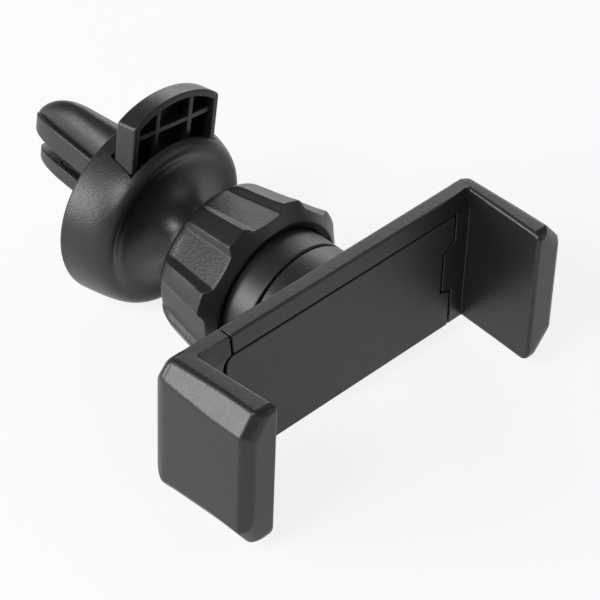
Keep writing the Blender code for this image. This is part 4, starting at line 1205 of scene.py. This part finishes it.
@dataclass
class Base:
    """Round housing with its ball, the rear cover with the fixed prong, and the lever."""

    ball_y: float = 20.6
    ball_radius: float = 7.6
    neck: float = 4.5
    neck_fillet: float = 6.3
    front_y: float = 33.8
    back_y: float = 42.25
    face_radius: float = 12.45
    shoulder_radius: float = 14.65
    shoulder_y: float = 38.3
    back_radius: float = 15.42
    rim_bulge: float = 1.75
    side_run: float = 4.5
    dish: float = 0.8
    dish_turn: float = 20.0
    dish_run: float = 2.2
    lip_run: float = 1.1
    side_slope: float = 0.15
    wall: float = 1.4
    cover: float = 1.3
    screw_circle: float = 10.6
    screw_turns: tuple[float, ...] = (20, 160, 270)
    screw_boss: float = 1.98
    screw_head: float = 2.1
    bore: float = 1.05
    ear_thickness: float = 1.6
    ear_half: float = 2.1
    pin_half: float = 7.6
    neck_bore: tuple[Point, ...] = ((2.4, 32.6), (1.5, 32.6), (1.5, 19.2), (0.0, 17.8))
    tab_half: float = 8.43
    tab_front: float = 35.4
    tab_thickness: float = 3.9
    tab_top: float = 22.2
    tab_shoulder: float = 19.3
    tab_back_drop: float = 0.9
    tab_wall: float = 1.15
    tab_edge: float = 0.4
    slot_gap: float = 0.14
    tab_root: float = 11.4
    rib: float = 0.85
    rib_spread: float = 6.5
    rib_height: float = 16.75
    rib_recess: float = 0.6
    rib_edge: float = 0.14
    web_half: float = 5.2
    web_front: float = 37.25
    web_back: float = 39.35
    spring_seat: float = 2.85
    seat_depth: float = 0.92
    pivot_y: float = 38.3
    pivot_z: float = 7.6
    pivot_boss: float = 1.8
    swing: float = 5.0
    prong_half: float = 4.5
    prong_taper: float = 0.092
    ledge: float = 0.85
    bead: float = 0.45
    groove: float = 0.14
    plan_length: float = 6.9
    plan_power: float = 0.3
    upper_bottom: float = 1.2
    upper_ridge: float = 5.2
    upper_top: float = 10.4
    upper_drop: float = 0.054
    upper_tip: float = 64.19
    arch_length: float = 9.5
    arch_power: float = 0.77
    lower_top: float = -0.4
    lower_bottom: float = -3.2
    lower_edge: float = 0.8
    lower_tip: float = 62.7
    pad_half: float = 2.4
    pad_ends: Point = (44.2, 56.8)
    pad_thickness: float = 1.0

    def screw_places(self) -> list[Point]:
        """Centres of the cover's screws."""
        turns = [math.radians(turn) for turn in self.screw_turns]
        return [(self.screw_circle * math.cos(turn), self.screw_circle * math.sin(turn)) for turn in turns]

    def build_shell(self) -> Form:
        """Ball, neck, dished front, rounded rim and hollow back, with the lever's slot.

        Returns:
            The housing.
        """
        dish_y = self.front_y + self.dish
        neck_angle = math.degrees(math.acos(self.neck / self.ball_radius))
        outline = arc((0.0, self.ball_y), (self.ball_radius, self.ball_radius), -90, neck_angle, 36)
        centre = (self.neck + self.neck_fillet, dish_y - self.neck_fillet)
        outline += arc(centre, (self.neck_fillet, self.neck_fillet), 180, 90 + self.dish_turn, 24)
        (x, y), lean = outline[-1], math.radians(self.dish_turn)
        bottom = (x + self.dish_run * math.cos(lean), y + self.dish_run * math.sin(lean))
        lip = (self.face_radius - self.lip_run, self.front_y)
        outline += curve([(x, y), bottom, lip, (self.face_radius, self.front_y)], 28)[1:]
        side = (self.back_radius - self.side_slope * self.side_run, self.back_y - self.side_run)
        bulge = (self.face_radius + self.rim_bulge, self.front_y)
        last = (self.back_radius, self.back_y)
        outline += curve([(self.face_radius, self.front_y), bulge, side, last], 30)[1:-1]
        seat = self.back_radius - self.wall
        seat_y = self.back_y - self.cover - GAP
        tail = filleted(
            [
                (self.back_radius - self.side_slope * 0.8, self.back_y - 0.8, 0.0),
                (self.back_radius, self.back_y, 0.4),
                (seat, self.back_y, 0.15),
                (seat, seat_y, 0.0),
                (seat - 0.8, seat_y, 0.0),
                (self.shoulder_radius - self.wall, self.shoulder_y, 0.0),
            ],
            closed=False,
        )
        outline += tail[1:]
        inner_y = dish_y + self.wall
        inner = (self.shoulder_radius - self.wall - centre[0], self.shoulder_y - inner_y)
        outline += arc((centre[0], self.shoulder_y), inner, 0, -90, 8)[1:]
        outline += [(3.0, inner_y), (self.neck_bore[0][0], inner_y - 0.6), *self.neck_bore]
        shell = Form.turned(outline, 224)
        for x, z in self.screw_places():
            shell.join(Form.rod((x, z), self.screw_boss, Axis.Y, (inner_y - GAP, seat_y), 24))
            shell.cut(Form.rod((x, z), self.bore, Axis.Y, (inner_y, seat_y + GAP), 24))
        near = self.web_half + GAP
        far = near + self.ear_thickness
        height = (self.pivot_z - self.ear_half, self.pivot_z + self.ear_half)
        for ends in ((-far, -near), (near, far)):
            shell.join(Form.block(ends, (inner_y - GAP, self.pivot_y + self.ear_half), height))
        pivot = (self.pivot_y, self.pivot_z)
        shell.cut(Form.rod(pivot, self.bore, Axis.X, (-self.pin_half, self.pin_half), 32))
        return shell.cut(self.tab_room())

    def tab_room(self) -> Form:
        """Room for the thumb tab, at rest and pressed home.

        Returns:
            The room, to be cut away.
        """
        low = self.tab_root - 1.5
        swing = math.tan(math.radians(self.swing))
        back = self.tab_front + self.tab_thickness + self.slot_gap
        section = [
            (self.tab_front - self.slot_gap, low),
            (self.tab_front - self.slot_gap, self.tab_top),
            (back + swing * (self.tab_top - self.pivot_z), self.tab_top),
            (back + swing * (low - self.pivot_z), low),
        ]
        side = self.tab_half + self.slot_gap
        return Form.drawn(section, Axis.X, (-side, side))

    def prong_stations(self, root: float, tip: float) -> list[float]:
        """Places along a prong, closer together towards its rounded end.

        Args:
            root: Where the prong starts.
            tip: Where it ends.

        Returns:
            The places, along Y.
        """
        length = self.arch_length
        straight = [root + (tip - length - root) * k / 6 for k in range(6)]
        return straight + [tip - length * (1 - math.sin(math.radians(3.6 * k))) for k in range(26)]

    def width_at(self, y: float) -> float:
        """Half width of a prong before its end is rounded."""
        return self.prong_half - self.prong_taper * (max(y, self.back_y) - self.back_y)

    def tip_share(self, y: float, tip: float, length: float, power: float) -> float:
        """How much of a section is left on the rounded end.

        Args:
            y: Place along the prong.
            tip: Where the prong ends.
            length: Length of the rounded end.
            power: 0.5 for an ellipse, less for a blunter end.

        Returns:
            The share, from nearly 0 to 1.
        """
        along = min(1.0, max(0.0, (y - tip + length) / length))
        return max(0.004, 1 - along**2) ** power

    def build_upper_prong(self) -> Form:
        """Fixed prong: flat grip side, upright flanks, a ledge and an arched top.

        Returns:
            The prong.
        """
        ridge, bottom = self.upper_ridge, self.upper_bottom
        middle = (ridge + bottom) / 2
        rings = []
        for y in self.prong_stations(self.back_y - self.cover / 2, self.upper_tip):
            plan = self.tip_share(y, self.upper_tip, self.plan_length, self.plan_power)
            arch = self.tip_share(y, self.upper_tip, self.arch_length, self.arch_power)
            half, ledge = self.width_at(y) * plan, self.ledge * plan
            high = middle + (ridge - middle) * (0.3 + 0.7 * plan)
            low = middle + (bottom - middle) * (0.5 + 0.5 * plan)
            rise = (self.upper_top - self.upper_drop * (y - self.back_y) - ridge) * arch
            groove, bead = high - self.groove * plan, self.bead * plan
            section = filleted(
                [
                    (half, low, 0.35 * plan),
                    (-half, low, 0.35 * plan),
                    (-half, high, bead),
                    (-half + ledge, groove, 0.0),
                    (half - ledge, groove, 0.0),
                    (half, high, bead),
                ]
            )
            place = section.index((-half + ledge, groove))
            section[place:place + 2] = arc((0.0, groove), (half - ledge, rise), 180, 0, 40)
            rings.append([Vector((x, y, z)) for x, z in section])
        return Form.lofted(rings)

    def build_lower_prong(self) -> Form:
        """Moving prong: flat grip side, upright flanks and a rounded underside.

        Returns:
            The prong.
        """
        middle = (self.lower_top + self.lower_bottom) / 2
        depth = self.lower_top - middle
        rings = []
        for y in self.prong_stations((self.web_front + self.web_back) / 2, self.lower_tip):
            plan = self.tip_share(y, self.lower_tip, self.plan_length, self.plan_power)
            half = self.width_at(y) * plan
            top = middle + depth * (0.6 + 0.4 * plan)
            bottom = middle - depth * (0.3 + 0.7 * plan)
            edge = self.lower_edge * plan
            upper = 0.3 * edge
            corners = [(-half, bottom, edge), (-half, top, upper), (half, top, upper), (half, bottom, edge)]
            rings.append([Vector((x, y, z)) for x, z in filleted(corners, steps=6)])
        return Form.lofted(rings)

    def pad_room(self, face: float, outward: int) -> Form:
        """Pocket of a grip pad.

        Args:
            face: Height of the pad's face.
            outward: 1 where the face looks up, -1 where it looks down.

        Returns:
            The pocket, to be cut away.
        """
        low, high = sorted((face + outward * 0.6, face - outward * (self.pad_thickness + GAP)))
        return Form.block((-self.pad_half, self.pad_half), self.pad_ends, (low, high))

    def build_cover(self) -> Form:
        """Round cover in one piece with the fixed prong.

        Returns:
            The cover.
        """
        radius = self.back_radius - self.wall - GAP
        front = self.back_y - self.cover
        outline = filleted(
            [(0.0, front, 0.0), (radius, front, 0.0), (radius, self.back_y, 0.3), (0.0, self.back_y, 0.0)],
            closed=False,
        )
        cover = Form.turned(outline, 160)
        cover.join(self.build_upper_prong()).cut(self.pad_room(self.upper_bottom - 0.2, -1))
        half = self.prong_half + GAP
        drop = math.tan(math.radians(self.swing)) * (self.back_y - self.pivot_y)
        through = (front - GAP, self.back_y + GAP)
        opening = (self.lower_bottom - drop - 2 * GAP, self.lower_top + 2 * GAP)
        cover.cut(Form.block((-half, half), through, opening))
        sunk = (self.back_y - self.cover / 2, self.back_y + GAP)
        for centre in self.screw_places():
            cover.cut(Form.rod(centre, self.bore, Axis.Y, through, 32))
            cover.cut(Form.rod(centre, self.screw_head, Axis.Y, sunk, 48))
        return cover

    def tab_outline(self, inset: float, corner: float) -> list[Point]:
        """Half-moon outline of the thumb tab.

        Args:
            inset: How far it is pulled in, for the window.
            corner: Radius of its two upper corners.

        Returns:
            The outline's (x, z) points.
        """
        half = self.tab_half - inset
        sagitta = self.tab_top - self.tab_shoulder
        radius = (self.tab_half**2 + sagitta**2) / (2 * sagitta)
        centre = self.tab_top - radius
        reach = radius - inset
        spread = math.degrees(math.asin(half / reach))
        crown = arc((0.0, centre), (reach, reach), 90 + spread, 90 - spread, 30)
        foot = self.tab_root + inset / 3
        ends = [(-half, foot, 0.0), (*crown[0], corner), *((u, v, 0.0) for u, v in crown[3:-3])]
        return filleted([*ends, (*crown[-1], corner), (half, foot, 0.0)])

    def tab_rings(self, stations: Sequence[Point], corner: float) -> list[list[Vector]]:
        """Rings of the tab's outline, its crown falling towards the back.

        Args:
            stations: Places along Y, each with the outline's inset.
            corner: Radius of the two upper corners.

        Returns:
            The rings.
        """
        fall = self.tab_back_drop / (self.tab_top - self.tab_root) / self.tab_thickness
        rings = []
        for y, inset in stations:
            lean = 1 - fall * min(self.tab_thickness, max(0.0, y - self.tab_front))
            outline = self.tab_outline(inset, corner)
            rings.append([Vector((x, y, self.tab_root + (z - self.tab_root) * lean)) for x, z in outline])
        return rings

    def build_lever(self) -> Form:
        """Thumb tab with its window grid, the web down to the pivot and the lower prong.

        Returns:
            The lever.
        """
        front, back = self.tab_front, self.tab_front + self.tab_thickness
        depths = [self.tab_edge * (1 - math.cos(math.radians(a))) for a in (0, 25, 45, 65, 90)]
        outside = [(front + depth, rounding(depth, self.tab_edge)) for depth in depths]
        outside += [(back - depth, rounding(depth, self.tab_edge)) for depth in reversed(depths)]
        tab = Form.lofted(self.tab_rings(outside, 0.9))
        wall = self.tab_wall
        inside = [
            (front - 0.4, wall - 0.16),
            (front + 0.02, wall - 0.16),
            (front + 0.06, wall - 0.07),
            (front + 0.16, wall),
            (back - 1.0, wall),
        ]
        tab.cut(Form.lofted(self.tab_rings(inside, 0.35)))
        inner, rib = self.tab_half - 0.75, self.rib / 2
        rib_front = front + self.rib_recess
        upright, level = (self.tab_root + 0.6, self.tab_top - self.tab_wall), self.rib_height
        bars = [((x - rib, x + rib), upright) for x in (-self.rib_spread / 2, self.rib_spread / 2)]
        for width, height in (*bars, ((-inner, inner), (level - rib, level + rib))):
            bar = Form.block(width, (rib_front, back - 0.5), height)
            tab.join(bar.rounded(self.rib_edge, lambda a, b: max(a.y, b.y) < rib_front + 0.01, 2))
        width, height = (-self.web_half, self.web_half), (self.lower_bottom, self.tab_root + GAP)
        web = Form.block(width, (self.web_front, self.web_back), height)
        seat = (self.web_front - 0.5, self.web_front + self.seat_depth)
        tab.join(web.cut(Form.rod((0.0, 0.0), self.spring_seat, Axis.Y, seat)))
        pivot = (self.pivot_y, self.pivot_z)
        tab.join(Form.rod(pivot, self.pivot_boss, Axis.X, width, 40))
        tab.join(self.build_lower_prong())
        tab.cut(Form.rod(pivot, self.bore, Axis.X, (-self.tab_half, self.tab_half), 32))
        return tab.cut(self.pad_room(self.lower_top + 0.2, 1))

    def build(self, finishes: Finishes) -> None:
        """Makes, dresses and ties the base's pieces.

        Args:
            finishes: The finishes of the holder.
        """
        shell = self.build_shell().piece("round_housing", BASE_PLACE, 30.0)
        fit_piece(shell, finishes.satin, "base", "satin_black", "base_shell")
        cover = self.build_cover().piece("prong_cover", BASE_PLACE, 30.0)
        fit_piece(cover, finishes.satin, "base", "satin_black", "rear_cover")
        lever = self.build_lever().piece("thumb_lever", BASE_PLACE, 35.0)
        fit_piece(lever, finishes.satin, "lever", "satin_black", "release_lever")


@dataclass
class SmallParts:
    """Screws, pin, springs, liner and pads, which keep the frame's own shapes."""

    steel: tuple[str, ...] = (
        "rear_cover_screw_1",
        "rear_cover_screw_2",
        "rear_cover_screw_3",
        "lever_pin",
        "socket_screw",
        "socket_washer",
    )
    springs: tuple[str, ...] = ("clamp_spring", "jaw_spring_upper", "jaw_spring_lower")
    pads: tuple[str, ...] = ("upper_grip_pad", "lower_grip_pad")
    liners: tuple[str, ...] = ("ball_liner",)

    def dress(self, finishes: Finishes) -> None:
        """Gives each of them its finish.

        Args:
            finishes: The finishes of the holder.
        """
        groups = (
            (self.steel, finishes.steel),
            (self.springs, finishes.spring),
            (self.pads, finishes.rubber),
            (self.liners, finishes.liner),
        )
        for names, finish in groups:
            for name in names:
                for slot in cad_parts[name].material_slots:
                    slot.material = finish
                LOG.info("%s: %s", name, finish.name)


@dataclass
class Studio:
    """Pale floor, soft lamps and the camera, whose angles are in radians."""

    target: Vector = Vector((-7.788, -50.5, 10.106)) * 0.001
    distance: float = 0.41875
    azimuth: float = -0.8068399
    elevation: float = 0.7090755
    roll: float = 0.0397683
    lens: float = 180.555
    floor_drop: float = 0.0002
    floor_glow: float = 0.84
    surround: float = 0.17

    def set_camera(self) -> None:
        """Stands the camera where the photograph's was."""
        a, e, r = self.azimuth, self.elevation, self.roll
        back = Vector((math.sin(a) * math.cos(e), -math.cos(a) * math.cos(e), math.sin(e)))
        right = Vector((math.cos(a), math.sin(a), 0.0))
        up = back.cross(right)
        across = right * math.cos(r) + up * math.sin(r)
        above = up * math.cos(r) - right * math.sin(r)
        data = bpy.data.cameras.new("camera")
        data.lens = self.lens
        data.sensor_width = 36.0
        data.clip_start = 0.01
        data.clip_end = 10.0
        camera = bpy.data.objects.new("camera", data)
        turn = Matrix((across, above, back)).transposed().to_4x4()
        camera.matrix_world = Matrix.Translation(self.target + back * self.distance) @ turn
        bpy.context.collection.objects.link(camera)
        bpy.context.scene.camera = camera

    def set_floor(self) -> None:
        """Lays the floor just under the holder."""
        low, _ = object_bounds()
        bm = bmesh.new()
        bmesh.ops.create_grid(bm, x_segments=1, y_segments=1, size=2.0)
        bmesh.ops.translate(bm, verts=bm.verts[:], vec=(0.0, 0.0, low.z - self.floor_drop))
        mesh = bpy.data.meshes.new("floor")
        bm.to_mesh(mesh)
        bm.free()
        floor = bpy.data.objects.new("floor", mesh)
        bpy.context.collection.objects.link(floor)
        tree = Tree("pale_floor")
        tree.shader.inputs["Base Color"].default_value = (0.86, 0.86, 0.86, 1.0)
        tree.shader.inputs["Roughness"].default_value = 0.9
        tree.shader.inputs["Specular IOR Level"].default_value = 0.0
        path = tree.add("ShaderNodeLightPath")
        seen = Number(tree, path.outputs["Is Camera Ray"]) + Number(tree, path.outputs["Is Glossy Ray"])
        share = (seen + Number(tree, path.outputs["Is Transmission Ray"])) * self.floor_glow
        glow = tree.add("ShaderNodeEmission", None, {"Color": (1.0, 1.0, 1.0, 1.0), "Strength": 1.0})
        parts = {0: share, 1: tree.shader.outputs[0], 2: glow.outputs[0]}
        mixed = tree.add("ShaderNodeMixShader", None, parts)
        tree.feed(tree.nodes["Material Output"].inputs["Surface"], mixed.outputs[0])
        mesh.materials.append(tree.material)
        floor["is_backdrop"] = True

    def set_world(self) -> None:
        """Sets pale surroundings that the camera sees as white."""
        world = bpy.data.worlds.new("surroundings")
        bpy.context.scene.world = world
        world.use_nodes = True
        nodes, links = world.node_tree.nodes, world.node_tree.links
        background = nodes["Background"]
        background.inputs["Color"].default_value = (1.0, 1.0, 1.0, 1.0)
        path = nodes.new("ShaderNodeLightPath")
        level = nodes.new("ShaderNodeMath")
        level.operation = "MULTIPLY_ADD"
        links.new(path.outputs["Is Camera Ray"], level.inputs[0])
        level.inputs[1].default_value = 1.0 - self.surround
        level.inputs[2].default_value = self.surround
        links.new(level.outputs[0], background.inputs["Strength"])

    def set_lamp(self, name: str, place: Sequence[float], size: float, power: float) -> None:
        """Hangs a soft square lamp that faces the holder.

        Args:
            name: Name of the lamp.
            place: Where it hangs, in metres from the middle of the holder.
            size: Side of the square, in metres.
            power: Its power, in watts.
        """
        data = bpy.data.lights.new(name, "AREA")
        data.size = size
        data.energy = power
        lamp = bpy.data.objects.new(name, data)
        offset = Vector(place)
        lamp.rotation_mode = "QUATERNION"
        lamp.location = self.target + offset
        lamp.rotation_quaternion = offset.to_track_quat("Z", "Y")
        bpy.context.collection.objects.link(lamp)

    def build(self) -> None:
        """Sets camera, floor, surroundings and lamps."""
        self.set_camera()
        self.set_floor()
        self.set_world()
        self.set_lamp("key_lamp", (-0.52, 0.34, 0.16), 0.34, 3.8)
        self.set_lamp("top_lamp", (-0.46, -0.04, 0.46), 0.2, 2.2)
        self.set_lamp("back_lamp", (0.48, 0.42, 0.24), 0.45, 1.7)
        self.set_lamp("front_lamp", (0.42, -0.45, 0.36), 0.4, 0.5)
        bpy.context.scene.view_settings.view_transform = "Standard"


def main() -> None:
    """Builds the holder's pieces, dresses them and sets up the studio."""
    logging.basicConfig(level=logging.INFO, format="%(message)s")
    finishes = Finishes.mixed()
    Cradle().build(finishes)
    BallJoint().build(finishes)
    Base().build(finishes)
    SmallParts().dress(finishes)
    Studio().build()


if __name__ == "__main__":
    main()
